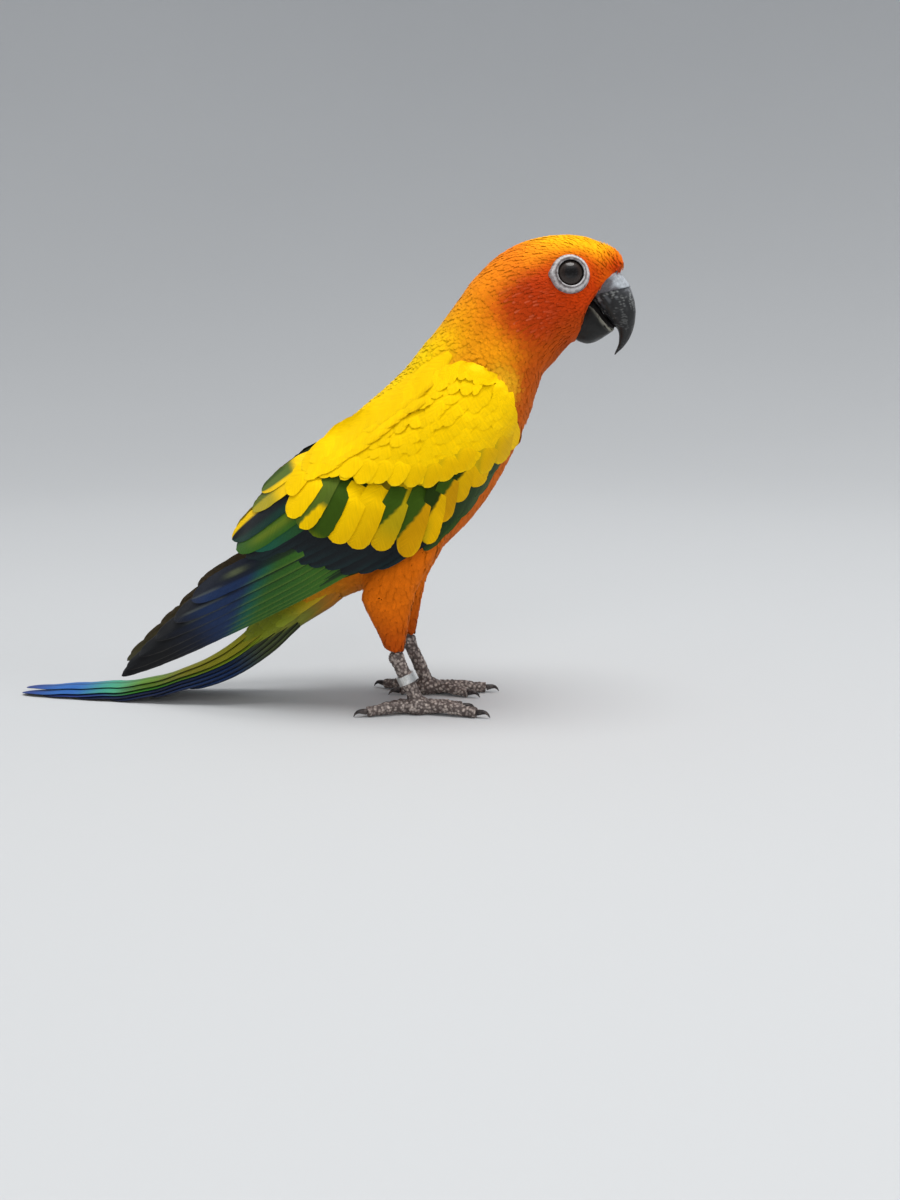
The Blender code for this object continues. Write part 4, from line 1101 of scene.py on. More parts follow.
def primary_colour(row, u, v, p, q):
    """Green, then blue, then nearly black, later on the lower feathers."""
    turn = p + (q + 12.0) * 1.6
    lower_rim = smooth(-u, 0.75, 0.95) * (1.0 - smooth(turn, 96.0, 110.0)) * 0.5
    colour = layered(GRASS, (paint(40, 84, 26), smooth(p, 70.0, 90.0)),
                     (TEAL, smooth(turn, 90.0, 99.0)), (BLUE, smooth(turn, 96.0, 106.0)),
                     (paint(16, 22, 36), smooth(p, 110.0, 124.0)),
                     (INK, smooth(p, 120.0, 134.0)), (paint(92, 118, 40), lower_rim),
                     (INK, smooth(u, -0.3, 0.1) * 0.85))
    if row is PRIMARIES[-1]:
        fleck = np.exp(-((p - 97.0) / 4.0) ** 2 - ((u - 0.45) / 0.13) ** 2)
        colour = mixed(colour, paint(150, 160, 100), 0.35 * fleck)
    rim = smooth(np.abs(u), 0.86, 0.97) * smooth(p, 108.0, 124.0)
    shaft = np.exp(-(u / 0.035) ** 2) * smooth(p, 102.0, 108.0) * (1 - smooth(p, 118.0, 124.0))
    shown = 0.15 if row[0][1] > -17 else 0.05
    return layered(colour, (paint(64, 62, 60), rim * 0.6), (paint(150, 160, 150), shaft * shown))


def secondary_colour(row, u, v, p, q):
    return layered(NAVY, (paint(18, 40, 42), smooth(-u, 0.3, 0.8) * smooth(v, 0.5, 0.8) * 0.6),
                   (INK, smooth(u, 0.1, 0.4) * 0.6))


def edge_colour(row, u, v, p, q):
    return mixed(DEEP_LEAF, paint(48, 72, 20), smooth(-u, 0.2, 0.8) * 0.8)


def median_colour(row, u, v, p, q):
    # a paler rim and tip: painted highlight
    rim = smooth(np.abs(u), 0.6, 1.0) * smooth(v, 0.5, 0.9) + smooth(v, 0.88, 1.0)
    # darker on the lower median coverts: painted shade
    return layered(WING_YELLOW, (SHADED_YELLOW, smooth(-q, 0.0, 16.0) * 0.7),
                   (MOSS, smooth(-q - 3.0, 0.0, 8.0) * smooth(u, 0.1, 0.5) * 0.4),
                   (HIGHLIGHT_YELLOW, np.clip(rim, 0, 1) * 0.3))


def lesser_colour(row, u, v, p, q):
    # darker on the lower small coverts: painted shade
    return layered(WING_YELLOW, (SHADED_YELLOW, smooth(-q - p * 0.2, 2.0, 16.0) * 0.45),
                   # a paler tip: painted highlight
                   (HIGHLIGHT_YELLOW, smooth(v, 0.75, 1.0) * 0.12))


def scapular_colour(row, u, v, p, q):
    # warmer and darker along the low edge near the front: partly the bird's orange, partly painted
    # shade of the groove where the scapulars meet the wing
    orange_and_groove_shade = smooth(-u, 0.5, 1.0) * (1.0 - smooth(p, 30.0, 45.0)) * 0.4
    # a paler tip: painted highlight
    return layered(WING_YELLOW, (SHADED_YELLOW, orange_and_groove_shade), (HIGHLIGHT_YELLOW, smooth(v, 0.8, 1.0) * 0.2))


# %% Laying one wing
def small_coverts(sheet):
    """Roots and tips of the lesser coverts, spread evenly over the shoulder."""
    spots = []
    for row, p in enumerate(np.arange(-7.4, 46.0, 2.4)):
        low, top = wing_edges(p)
        for q in np.arange(low + 1.4 + 1.4 * (row % 2), top - 1.4, 2.8):
            spots.append((p + rng.uniform(-0.5, 0.5), q + rng.uniform(-0.5, 0.5)))
    spots = np.array(spots)
    line = read(((-20.0, -7.0), (-5.0, -8.0), (10.0, -5.0), (22.0, -0.5), (32.0, 6.0), (40.0, 12.0),
                 (50.0, 17.0)), spots[:, 0])[0]
    spots = spots[spots[:, 1] > line - 2.0]
    p, q = spots.T
    steep = np.radians(np.interp(p, [-10.0, 5.0, 20.0, 45.0], [58.0, 50.0, 42.0, 26.0]))
    steep *= 1.0 - 0.7 * smooth(q, 4.0, 16.0)
    steep += rng.normal(0.0, 0.06, len(p))
    length = np.interp(p, [-10.0, 15.0, 45.0], [8.0, 10.5, 12.5]) * rng.uniform(0.92, 1.08, len(p))
    tips = spots + np.stack((np.cos(steep), -np.sin(steep)), -1) * length[:, None]
    edge = np.minimum(p + 7.8, read(TOP_EDGE, p)[0] - q)
    half = np.interp(edge, [0.5, 6.0], [1.5, 3.1])
    return [(a, b, w, w) for a, b, w in zip(spots, tips, half)]


def rim_coverts():
    """Tiny feathers that follow the shoulder's outline and make it smooth."""
    rows = []
    for path, reach in ((TOP_EDGE[:5], 36.0), (TOP_EDGE[:1] + LOW_EDGE[:4], 22.0)):
        path = np.array(path)
        far = np.concatenate(([0.0], np.cumsum(np.linalg.norm(np.diff(path, axis=0), axis=1))))

        def along(distance, inset):
            spot = np.array([np.interp(distance, far, path[:, k]) for k in (0, 1)])
            return spot + unit(np.array((8.0, 1.0)) - spot) * inset

        for start in np.arange(0.0, reach - 6.5, 0.7):
            change = (start * 3.7) % 1.0
            rows.append((along(start, 1.0), along(start + 5.0 - change, 1.8 + 4.2 * change), 1.5, 1.5))
    return rows


def scapulars():
    """Long soft feathers that fall from the back over the wing's upper edge."""
    rows = []
    for rise, first, last in ((-1.6, 6.0, 46.0), (0.6, 4.0, 44.0), (2.6, 2.0, 40.0)):
        for p in np.arange(first, last, 4.2):
            p = p + rng.uniform(-0.8, 0.8)
            q = read(TOP_EDGE, p)[0] + rise + rng.uniform(-0.4, 0.4)
            end = p + 17.0 + rng.uniform(-1.0, 1.0)
            drop = 0.16 * (end - p) + 1.2 * smooth(p, 20.0, 44.0)
            rows.append(((p, q), (end, min(q - drop, read(TOP_EDGE, end)[0] - 1.0)), 3.0, 3.0))
    return rows


def wing_bed(sheet, flock, total):
    """The closed plate under the coverts, so that no light comes through between them. Its yellow is
    darkened as painted shade in the gaps, and its lower face is painted at half brightness as shade.
    """
    u, v, faces = vane_template(13, 26)
    p = -5.6 + 89.0 * v
    inset = 0.9 + 1.2 * (1.0 - smooth(v, 0.0, 0.15))
    low, top = wing_edges(p)
    low, top = low + inset, top - inset
    q = low + (top - low) * (u + 1.0) / 2.0
    out = sheet.height(p, q) - 0.75 - 0.5 * np.abs(u) ** 4
    swell = 0.5 + 1.2 * (1.0 - u ** 2) * smooth(v, 0.0, 0.2) * (1.0 - smooth(v, 0.6, 1.0))
    # yellow darkened to 0.8: painted shade in the gaps between the coverts
    colour = layered(WING_YELLOW * 0.8, (DEEP_LEAF, smooth(p, 32.0, 42.0)),
                     (NAVY, smooth(p, 50.0, 62.0)),
                     (DEEP_LEAF, smooth(low - q, -7.0, -3.0) * smooth(p, 6.0, 16.0))).reshape(-1, 3)
    # the lower face at half brightness: painted shade
    lay_plate(flock, (u, v, faces), sheet.point(p, q, out), sheet.point(p, q, out - swell),
              np.array((0.0, sheet.side, 0.0)), (q, p), (colour, colour * 0.5), total - 1, total, 0.0)


def lay_tier(sheet, flock, first, total, rows, level, rise, tip_start, bow, colour_of, size=(11, 26),
             spread_levels=0.0, under=None, **settings):
    """One tier: its rows are root, tip, low web and high web, and maybe a pattern.

    level is the height of the high web over the sheet, and rise is what the low web has
    more; spread_levels lifts each feather over the one before it."""
    u, v, faces = vane_template(*size)
    root, tip, low, high = zip(*(row[:4] for row in rows))
    levels = level + spread_levels * np.arange(len(rows))
    points, normals, vane, p, q = shaped(sheet, root, tip, low, high, levels, rise, tip_start, bow,
                                         u, v, **settings)
    upper = np.stack([colour_of(rows[k], u.ravel(), v.ravel(), p[k], q[k]) for k in range(len(rows))])
    lower = upper * 0.8 if under is None else under + np.zeros_like(upper)
    colours = jitter(np.concatenate((upper, lower), 1), 0.03)
    flock.add(points, faces, colours, vane, bake_tiles(len(rows), u, v, first, total), normals)


def make_wing_piece(name, sheet, tiers, material, *nodes, bed=False):
    """One piece of a wing, its tiers laid from the lowest to the highest."""
    flock = Flock(name + "_" + sheet.name)
    total = sum(len(tier[0]) for tier, _ in tiers) + bed
    if bed:
        wing_bed(sheet, flock, total)
    done = 0
    for tier, settings in tiers:
        lay_tier(sheet, flock, done, total, *tier, **settings)
        done += len(tier[0])
    print(flock.shapes, "feathers in", flock.name)
    flock.build(material, "wing_feathers", *nodes)


# each tier: its rows, level, rise, where the tip rounds off, bow, colours, points across and along
FLIGHT_TIERS = (
    ((PRIMARIES, -0.5, 1.3, 0.8, 0.035, primary_colour, (13, 40)),
     {"spread_levels": 0.12, "under": paint(98, 86, 70)}),
    ((PRIMARY_COVERTS, 0.0, 0.8, 0.78, 0.03, secondary_colour),
     {"spread_levels": 0.05, "camber": 0.15}),
    ((SECONDARIES, 0.1, 0.8, 0.78, 0.03, secondary_colour),
     {"spread_levels": 0.05, "under": paint(112, 100, 66), "camber": 0.15}),
    ((TERTIALS, 0.35, 0.75, 0.66, 0.03, tertial_colour),
     {"spread_levels": 0.08, "under": paint(176, 152, 40), "camber": 0.2}),
    ((EDGE_FEATHERS, 0.0, 0.8, 0.7, 0.04, edge_colour), {"spread_levels": 0.1}),
)


def covert_tiers(sheet):
    lesser, scapular = small_coverts(sheet), scapulars()
    return (
        ((GREATER_COVERTS, 0.95, 0.8, 0.78, 0.05, covert_colour, (13, 26)),
         {"root_width": 0.75, "grown": 0.6, "spread_levels": 0.03, "camber": 0.2, "sink": 1.2}),
        ((MEDIAN_COVERTS, 1.35, 0.6, 0.55, 0.04, median_colour, (11, 18)),
         {"free_end": 0.55, "root_width": 0.3, "ragged": 0.035}),
        ((lesser, 1.35, 0.35, 0.45, 0.03, lesser_colour, (9, 12)),
         {"sink": 0.4, "camber": 0.22, "free_end": 0.8, "root_width": 0.75,
          "ragged": 0.04, "calm": 0.7}),
        ((scapular, 1.65, 0.5, 0.5, 0.03, scapular_colour, (9, 14)),
         {"sink": 1.5, "camber": 0.25, "free_end": 0.7, "root_width": 0.4,
          "ragged": 0.04, "calm": 0.6}),
        ((rim_coverts(), 1.34, 0.12, 0.5, 0.0, lesser_colour, (7, 12)),
         {"sink": 0.2, "camber": 0.15, "free_end": 0.6, "root_width": 0.5, "ragged": 0.03, "calm": 0.7,
          "early": 0.0}),
    )


for sheet in sheets.values():
    make_wing_piece("flight_feathers", sheet, FLIGHT_TIERS, flight_plumage, "wing_" + sheet.name)
    make_wing_piece("wing_coverts", sheet, covert_tiers(sheet), covert_plumage, bed=True)


# %% [markdown]
# ## The tail
#
# Twelve long feathers make the tail. The middle pair is the longest and lies on
# top, and each pair outwards is shorter and lies lower, so from above the tail
# ends in a point with steps. The tail slopes down from the rump, bends softly and
# lies on the floor. Soft coverts hide its root above and below.

# %% The path and the feathers of the tail
TAIL_ROOT = (-22.0, 47.0)
TAIL_SLOPE = math.radians(41.0)
TAIL_BEND = 70.0
TAIL_FLOOR = 1.0
RECTRICES = ((66.0, 7.0, 3.6, 3.0, 6.6), (80.0, 6.2, 2.9, 3.2, 6.8), (94.0, 5.2, 2.2, 3.4, 7.0),
             (107.0, 4.2, 1.5, 3.6, 7.0), (118.0, 3.0, 0.9, 4.2, 6.4), (126.0, 1.5, 0.35, 5.4, 5.4))
VANE_START = 24.0
LAYER = 0.86
TAIL_DROP = TAIL_ROOT[1] - TAIL_FLOOR - TAIL_BEND * (1 - math.cos(TAIL_SLOPE))
TAIL_STRAIGHT = TAIL_DROP / math.sin(TAIL_SLOPE)


def tail_point(s, y, above):
    """A point at a distance along the tail, to its side and above its path."""
    turn = np.clip((s - TAIL_STRAIGHT) / TAIL_BEND, 0.0, TAIL_SLOPE)
    here = TAIL_SLOPE - turn
    run = np.minimum(s, TAIL_STRAIGHT)
    x = TAIL_ROOT[0] - run * math.cos(TAIL_SLOPE) - TAIL_BEND * (math.sin(TAIL_SLOPE) - np.sin(here))
    x = x - np.maximum(0.0, s - TAIL_STRAIGHT - TAIL_BEND * TAIL_SLOPE)
    z = TAIL_ROOT[1] - run * math.sin(TAIL_SLOPE)
    z = z - TAIL_BEND * (np.cos(here) - math.cos(TAIL_SLOPE))
    roof = 0.42 * (1.0 - smooth(s, 30.0, 78.0))
    n = above - roof * np.abs(y) ** 1.1
    height = np.maximum(0.05, z + n * np.cos(here))
    return np.stack((x - n * np.sin(here), y * np.ones_like(x), height), -1)


def tail_colour(k, u, v, s):
    """u runs from the inner edge (-1) to the outer edge (1)."""
    if k == 5:
        return layered(OLIVE, (paint(104, 150, 34), smooth(s, 66.0, 84.0)),
                       (paint(60, 150, 120), smooth(s, 82.0, 96.0)),
                       (paint(40, 96, 168), smooth(s, 94.0, 108.0)),
                       (paint(40, 62, 130), smooth(s, 112.0, 125.0)))
    if k == 4:
        green = mixed(paint(120, 140, 26), paint(58, 132, 34), smooth(s, 55.0, 80.0))
        return layered(paint(44, 90, 130), (paint(38, 62, 118), smooth(s, 70.0, 95.0)),
                       (green, smooth(u, -0.35, 0.1) * (1.0 - smooth(s, 84.0, 100.0))),
                       (paint(38, 56, 120), smooth(s, 92.0, 112.0)))
    return layered(paint(32, 58, 106), (paint(28, 44, 92), smooth(s, 60.0, 90.0)),
                   (paint(110, 120, 40), (1.0 - smooth(s, 36.0, 52.0)) * 0.7),
                   (INK, smooth(-u, 0.1, 0.4) * 0.9), (INK, smooth(u, 0.72, 0.85) * 0.8),
                   (paint(170, 170, 90), smooth(v, 0.975, 1.0) * (k in (1, 3)) * 0.8))


def tail_vane(flock, k, side, number, total):
    length, start, spread_angle, outer_web, inner_web = RECTRICES[k]
    top = k == len(RECTRICES) - 1
    u, v, faces = vane_template(11, 40)
    s = VANE_START + (length - VANE_START) * v
    level = sum(LAYER * (1.0 - smooth(s, row[0] + 1.0, row[0] + 13.0)) for row in RECTRICES[:k])
    level = level + np.zeros_like(s) + (LAYER if top and side > 0 else 0.0)
    shaft = start + (s - VANE_START) * math.tan(math.radians(spread_angle))
    wide = vane_width(v, 0.62, 0.8) * (1.0 + rng.normal(0, 0.015, u.shape) * np.abs(u) ** 3)
    y = shaft + np.where(u > 0, outer_web, inner_web) * u * wide
    y = side * (y if top else np.maximum(0.3, y))
    ridge = 0.12 * np.exp(-(u / 0.08) ** 2) * (1 - v)
    droop = 0.35 * u ** 2 * (1.0 - smooth(v, 0.9, 1.0))
    above = level - TAIL_FLOOR + 0.5 + ridge - droop
    upper, lower = tail_point(s, y, above), tail_point(s, y, above - THICK)
    lower[..., 2] = np.minimum(lower[..., 2], upper[..., 2] - 0.03)
    colour = tail_colour(k, u.ravel(), v.ravel(), s.ravel())
    colour = mixed(colour, INK, np.exp(-(u.ravel() / 0.06) ** 2) * 0.6)
    under = mixed(INK, paint(40, 40, 34), 0.5) * np.ones_like(colour)
    lay_plate(flock, (u, v, faces), upper, lower, np.array((0.0, 0.0, 1.0)), (y - side * shaft, s),
              (colour, under), number, total, 0.03)


# %% Tail coverts and the tail's core
CORE_START, CORE_END = 17.0, 42.0
CORE_RISE = 1.6
COVERT_WIDTH = 2.5


def core_size(s):
    """Half height and half width of the tail's core."""
    t = np.minimum((s - CORE_START) / (CORE_END - CORE_START), 1.25)
    return 7.0 - 4.6 * t, 9.0 - 3.2 * t


def covert_rows():
    """Over or under, turn round the core, start and length, from the tail's tip to its root."""
    rows = []
    for r in range(9):
        start = 39.0 - 3.7 * r
        for column in range(-5, 6):
            turn = math.radians(17.0 * (column + 0.5 * (r % 2)))
            if abs(turn) < math.radians(86.0):
                rows += [("over", turn, start - 2.0 * abs(turn), 17.0 + 4.0 * (r == 0)),
                         ("under", turn, start - 2.0 * abs(turn), 18.0 + 5.0 * (r == 0))]
    return rows


def tail_covert(flock, row, number, total):
    place, turn, start, length = row
    u, v, faces = vane_template(7, 12)
    s = start + length * v
    aside = COVERT_WIDTH * u * vane_width(v, 0.45, 0.35)
    high, half = core_size(s)
    angle = turn * (1.0 - 0.15 * v) + aside / (0.5 * (high + half))
    lift = 0.25 + 0.5 * v - 0.25 * u ** 2 - 0.6 * (1.0 - smooth(v, 0.0, 0.3))
    way = 1.0 if place == "over" else -1.0

    def at(out):
        n = CORE_RISE + way * (high + out) * np.cos(angle)
        return tail_point(s, (half + out) * np.sin(angle), n)

    facing = tail_point(s, 0.0 * s, CORE_RISE + way) - tail_point(s, 0.0 * s, CORE_RISE + 0.0 * s)
    t = s.ravel() + 6.0 * abs(turn)
    if place == "over":
        colour = mixed(paint(238, 192, 8), paint(116, 126, 28), smooth(t, 16.0, 36.0))
    else:
        colour = mixed(paint(196, 122, 22), paint(108, 112, 36), smooth(t, 14.0, 30.0))
    # each covert is painted darker at its root and lighter at its tip: painted shade where the covert
    # above lies over it, and painted light on the tip
    colour = colour * (0.72 + 0.38 * smooth(v.ravel(), 0.3, 1.0))[:, None]
    lay_plate(flock, (u, v, faces), at(lift), at(lift - THICK), facing.mean((0, 1)), (aside, s),
              (colour, colour * 0.85), number, total, 0.09)


def tail_core(flock, first, total):
    """A soft cone that carries the roots of the tail, hidden by the coverts."""
    around, along = 20, 10
    v, turn = np.meshgrid(np.linspace(0, 1, along), np.linspace(0, math.tau, around, endpoint=False),
                          indexing="ij")
    s = CORE_START + (CORE_END - CORE_START) * v
    high, half = core_size(s)
    points = tail_point(s, half * np.sin(turn), CORE_RISE + high * np.cos(turn)).reshape(-1, 3)
    faces = []
    for i in range(along - 1):
        for j in range(around):
            a, b = i * around + j, i * around + (j + 1) % around
            faces += [(a, b, b + around), (a, b + around, a + around)]
    for ring in (0, along - 1):
        a = ring * around
        for j in range(1, around - 1):
            faces.append((a, a + j + 1, a + j) if ring == 0 else (a, a + j, a + j + 1))
    middle = points.reshape(along, around, 3).mean(1, keepdims=True)
    normals = unit(points.reshape(along, around, 3) - middle).reshape(1, -1, 3)
    colour = np.ones((1, len(points), 3)) * paint(150, 130, 24)
    side = math.ceil(math.sqrt(total))
    corner = np.array((first % side, first // side)) / side
    bake = corner + np.stack((turn.ravel() / math.tau, v.ravel()), -1)[None] * 0.9 / side
    flock.add(points[None], np.array(faces), colour, bake, bake, normals)


tail_parts = [(tail_vane, (k, side)) for k in range(len(RECTRICES)) for side, _ in SIDES]
tail_parts += [(tail_covert, (row,)) for row in covert_rows()]
tail_parts += [(tail_core, ())]
tail_flock = Flock("tail_vanes")
for number, (lay, what) in enumerate(tail_parts):
    lay(tail_flock, *what, number, len(tail_parts))
tail_flock.build(flight_plumage, "tail_feathers", "tail")


# %% [markdown]
# ## The coat
#
# Body feathers are small, soft and very many. Each is a flat closed leaf with a
# notched rim: the notches are the gaps between its barbs, and they make the edge
# soft. Roots are strewn evenly over the skin, close together on the face and wider
# apart on the body. From its root each feather walks backwards along the skin,
# step by step, so it lies on the form, and its tip lifts by the coat's depth.

# %% Templates of body feathers
def tuft_template(barbs, reach):
    """Places u, v and layer of a closed leaf with a sawtooth rim, and its faces.

    A barb leaves the shaft at shaft[k] and ends further on, by reach."""
    shaft = np.linspace(0.0, 0.86, barbs + 1)
    step = (0.95 - reach) / barbs

    def width(v):
        return math.sin(math.pi * min(1.0, 0.15 + 0.72 * v)) ** 0.7

    rim = []
    for k in range(barbs):
        start = reach + k * step
        rim.append((0.84 * width(start), start))
        rim.append((width(start + step), start + step * 0.98))
    rim.append((0.72 * width(0.95), 0.955))
    points = [(0.0, s, 1.0) for s in shaft] + [(0.0, s, -1.0) for s in shaft]
    points += [(0.0, 1.0, 0.0)]
    tip = len(points) - 1
    faces = []
    for side in (-1.0, 1.0):
        base = len(points)
        points += [(side * u, v, 0.0) for u, v in rim]
        for layer in (0, 1):
            spine = layer * (barbs + 1)
            part = []
            for k in range(barbs):
                notch, point, after = base + 2 * k, base + 2 * k + 1, base + 2 * k + 2
                part += [(spine + k, notch, point), (spine + k, point, spine + k + 1),
                         (spine + k + 1, point, after)]
            part.append((spine + barbs, base + 2 * barbs, tip))
            flip = (side > 0) == (layer == 0)
            faces += [f if flip else f[::-1] for f in part]
        root = (0, base, barbs + 1)
        faces.append(root if side < 0 else root[::-1])
    return np.array(points), np.array(faces)


BODY_TUFT = tuft_template(6, 0.12)
NECK_TUFT = tuft_template(5, 0.13)
HEAD_TUFT = tuft_template(3, 0.16)
print("tufts of", len(BODY_TUFT[1]), len(NECK_TUFT[1]), "and", len(HEAD_TUFT[1]), "faces")


# %% Strewing the roots
def spacing_at(points, places, leg):
    """Distance between roots: close on the face, wide on the body."""
    base = np.interp(places, [0.0, 8.6, 11.0, 12.5, 14.5, 16.0], [1.75, 1.75, 1.15, 0.82, 0.66, 0.52])
    near_eye = np.linalg.norm(mirrored(points) - EYE, axis=1)
    base = np.minimum(base, np.interp(near_eye, [6.0, 12.0], [0.5, 0.9]))
    return np.where(leg > 0.5, np.interp(points[:, 2], [18.0, 30.0, 60.0], [0.6, 0.9, 1.6]), base)


CELL = 2.2
CELLS_AROUND = list(itertools.product((-1, 0, 1), repeat=3))


def strew(count):
    """Evenly spread roots: candidates that are too close to an earlier one are dropped."""
    skin.data.calc_loop_triangles()
    tri = np.empty(len(skin.data.loop_triangles) * 3, np.int32)
    skin.data.loop_triangles.foreach_get("vertices", tri)
    tri = tri.reshape(-1, 3)
    a, b, c = (skin_points[tri[:, k]] for k in range(3))
    area = np.linalg.norm(np.cross(b - a, c - a), axis=1)
    middle = (a + b + c) / 3.0
    places = on_body(middle)[0]
    leg = thigh_share(middle)
    weight = area / spacing_at(middle, places, leg) ** 2
    picked = rng.choice(len(tri), count, p=weight / weight.sum())
    s, t = np.sqrt(rng.random(count)), rng.random(count)
    points = (a[picked] * (1 - s)[:, None] + b[picked] * (s * (1 - t))[:, None]
              + c[picked] * (s * t)[:, None])
    gap = spacing_at(points, places[picked], leg[picked])
    cells, kept = {}, []
    for i, (x, y, z) in enumerate(points.tolist()):
        here = (int(x // CELL), int(y // CELL), int(z // CELL))
        limit = gap[i] ** 2
        near = (other for dx, dy, dz in CELLS_AROUND
                for other in cells.get((here[0] + dx, here[1] + dy, here[2] + dz), ()))
        if all((x - ox) ** 2 + (y - oy) ** 2 + (z - oz) ** 2 >= limit for ox, oy, oz in near):
            cells.setdefault(here, []).append((x, y, z))
            kept.append(i)
    return points[kept], gap[kept], leg[picked][kept]


root_points, root_gaps, root_leg = strew(90000)
print(len(root_points), "roots strewn")


# %% Leaving out what is never seen
WING_COVERS_TO = 120.0


def under_wing(points, front, from_low, from_top):
    """True where the folded wing covers the skin, by a margin at its front and edges."""
    covered = np.zeros(len(points), bool)
    for side, sheet in sheets.items():
        p, q = sheet.where(points[:, 0], points[:, 2])
        low, top = wing_edges(p)
        inside = (p > front) & (p < WING_COVERS_TO) & (q > low + from_low) & (q < top - from_top)
        covered |= inside & (np.sign(points[:, 1]) == side) & (np.abs(points[:, 1]) > 8.0)
    return covered


def in_bill(points):
    """True on the cut face of the head, where the bill grows."""
    trees = [node_tree(name) for name in ("bill_upper", "bill_lower", "cere")]
    near = (points[:, 0] > 48.0) & (points[:, 2] < 142.0) & (np.abs(points[:, 1]) < 6.0)
    for i in np.nonzero(near)[0]:
        near[i] = any(tree.find_nearest(points[i])[3] < 1.6 for tree in trees)
    return near


def in_eye(points):
    """True under the lids and the eye."""
    look = np.array(EYE_LOOK)
    away = mirrored(points) - EYE
    along = away @ look
    aside = np.linalg.norm(away - along[:, None] * look, axis=1)
    return (aside < 5.5) & (np.abs(along) < 5.0)


hidden = under_wing(root_points, -0.5, 6.5, 5.0) | in_bill(root_points) | in_eye(root_points)
root_points, root_gaps, root_leg = root_points[~hidden], root_gaps[~hidden], root_leg[~hidden]
print(len(root_points), "roots left where feathers show")


# %% Laying the coat
WALK = 4
STREAK = paint(246, 150, 112)


def along_skin(way, normals):
    return unit(way - np.einsum("ij,ij->i", way, normals)[:, None] * normals)


def flow(points, normals, leg):
    """The way that feathers lie: backwards on the body, down on the thighs."""
    down = np.array((-0.25, 0.0, -0.97)) + np.zeros_like(points)
    return along_skin(mixed(on_body(points)[1], down, leg), normals)


def nearest_skin(points):
    found, facing = np.empty((2, len(points), 3))
    for i, point in enumerate(points):
        spot, _, face, _ = skin_tree.find_nearest(point)
        corners = list(skin_faces[face])
        far = np.linalg.norm(skin_points[corners] - np.array(spot), axis=1)
        found[i] = spot
        facing[i] = (skin_normals[corners] / (far + 0.05)[:, None]).sum(0)
    return found, unit(facing)


def lay_tufts(name, which, template, length, width, lift, cheek=None):
    """Feathers of one part of the coat, walked over the skin and bent from the template."""
    points, leg = root_points[which], root_leg[which]
    leaf, faces = template
    leaf_u, leaf_v, layer = leaf.T
    count = len(points)
    spot, facing = nearest_skin(points)
    way = flow(spot, facing, leg)
    turn = rng.normal(0.0, 0.10, count)[:, None]
    way = unit(way * np.cos(turn) + np.cross(facing, way) * np.sin(turn))
    length = length * rng.uniform(0.88, 1.12, count)
    path, ups = [spot], [facing]
    for _ in range(WALK):
        spot, facing = nearest_skin(path[-1] + way * (length / WALK)[:, None])
        way = along_skin(way, facing)
        path.append(spot)
        ups.append(facing)
    path, ups = np.stack(path, 1), np.stack(ups, 1)
    lift = np.where(under_wing(path[:, -1], -5.0, 1.5, 1.5), 0.25 * lift, lift)[:, None]

    # the leaf's points, each leaf a little different, laid along its path
    u = leaf_u * (1.0 + rng.normal(0.0, 0.10, (count, len(leaf))))
    v = np.clip(leaf_v + rng.normal(0.0, 0.02, (count, len(leaf))) * (leaf_v > 0.05), 0.0, 1.0)
    k = np.minimum((v * WALK).astype(int), WALK - 1)
    t = (v * WALK - k)[..., None]
    shape = np.arange(count)[:, None]
    base = path[shape, k] * (1 - t) + path[shape, k + 1] * t
    up = unit(ups[shape, k] * (1 - t) + ups[shape, k + 1] * t)
    across = unit(np.cross(unit(path[shape, k + 1] - path[shape, k] + 1e-6), up))
    high = lift * (0.15 + 0.85 * v) - 0.2 * (1 - v) ** 2 - 0.3 * lift * u ** 2
    high = high + rng.normal(0.0, 0.08, (count, 1)) * lift * v + layer * 0.04
    place = base + across * (u * width[:, None])[..., None] + up * high[..., None]
    normals = unit(up + across * (0.22 * u)[..., None])
    normals = np.where((layer < 0)[None, :, None], -normals, normals)

    # its colour is that of the skin at its root, varied a little at random; it is darker at the root
    # and lighter at the tip, a painted shade where the feathers above cover it
    places, _, back = on_body(points)
    colour = flesh_colour(points, places, back, leg)[:, None] * np.ones((1, len(leaf), 1))
    light = rng.normal(1.0, 0.035, (count, 1)) * (0.97 + 0.05 * v)
    light = light * (1.0 + rng.normal(0, 0.03, v.shape))
    colour = colour * light[..., None]
    if cheek is not None:
        lucky = rng.random((count, 1)) < 0.3
        mark = cheek[:, None] * lucky * smooth(v, 0.3, 0.7) * (1 - smooth(np.abs(u), 0.3, 0.6))
        colour = mixed(colour, mixed(colour, STREAK, 0.6), mark)
    bake = body_map(points, places, leg)[:, None] + 0.003 * np.stack((u / 2.0, v - 0.5), -1)
    vane = np.stack((u * width[:, None], v * length[:, None]), -1)
    flock = Flock(name)
    flock.add(place, faces, colour, vane, np.clip(bake, 0.0, 1.0), normals)
    flock.build(soft_plumage, "body_feathers")


NECK_START, HEAD_START, FACE_START = 8.9, 11.6, 13.4
root_places, _, root_back = on_body(root_points)
root_x, root_y, root_z = root_points.T
on_leg = root_leg > 0.5
on_back = root_back > 0.1


def part(*limits):
    """The roots of one part of the coat, and their gaps."""
    which = np.logical_and.reduce(limits)
    return which, root_gaps[which]


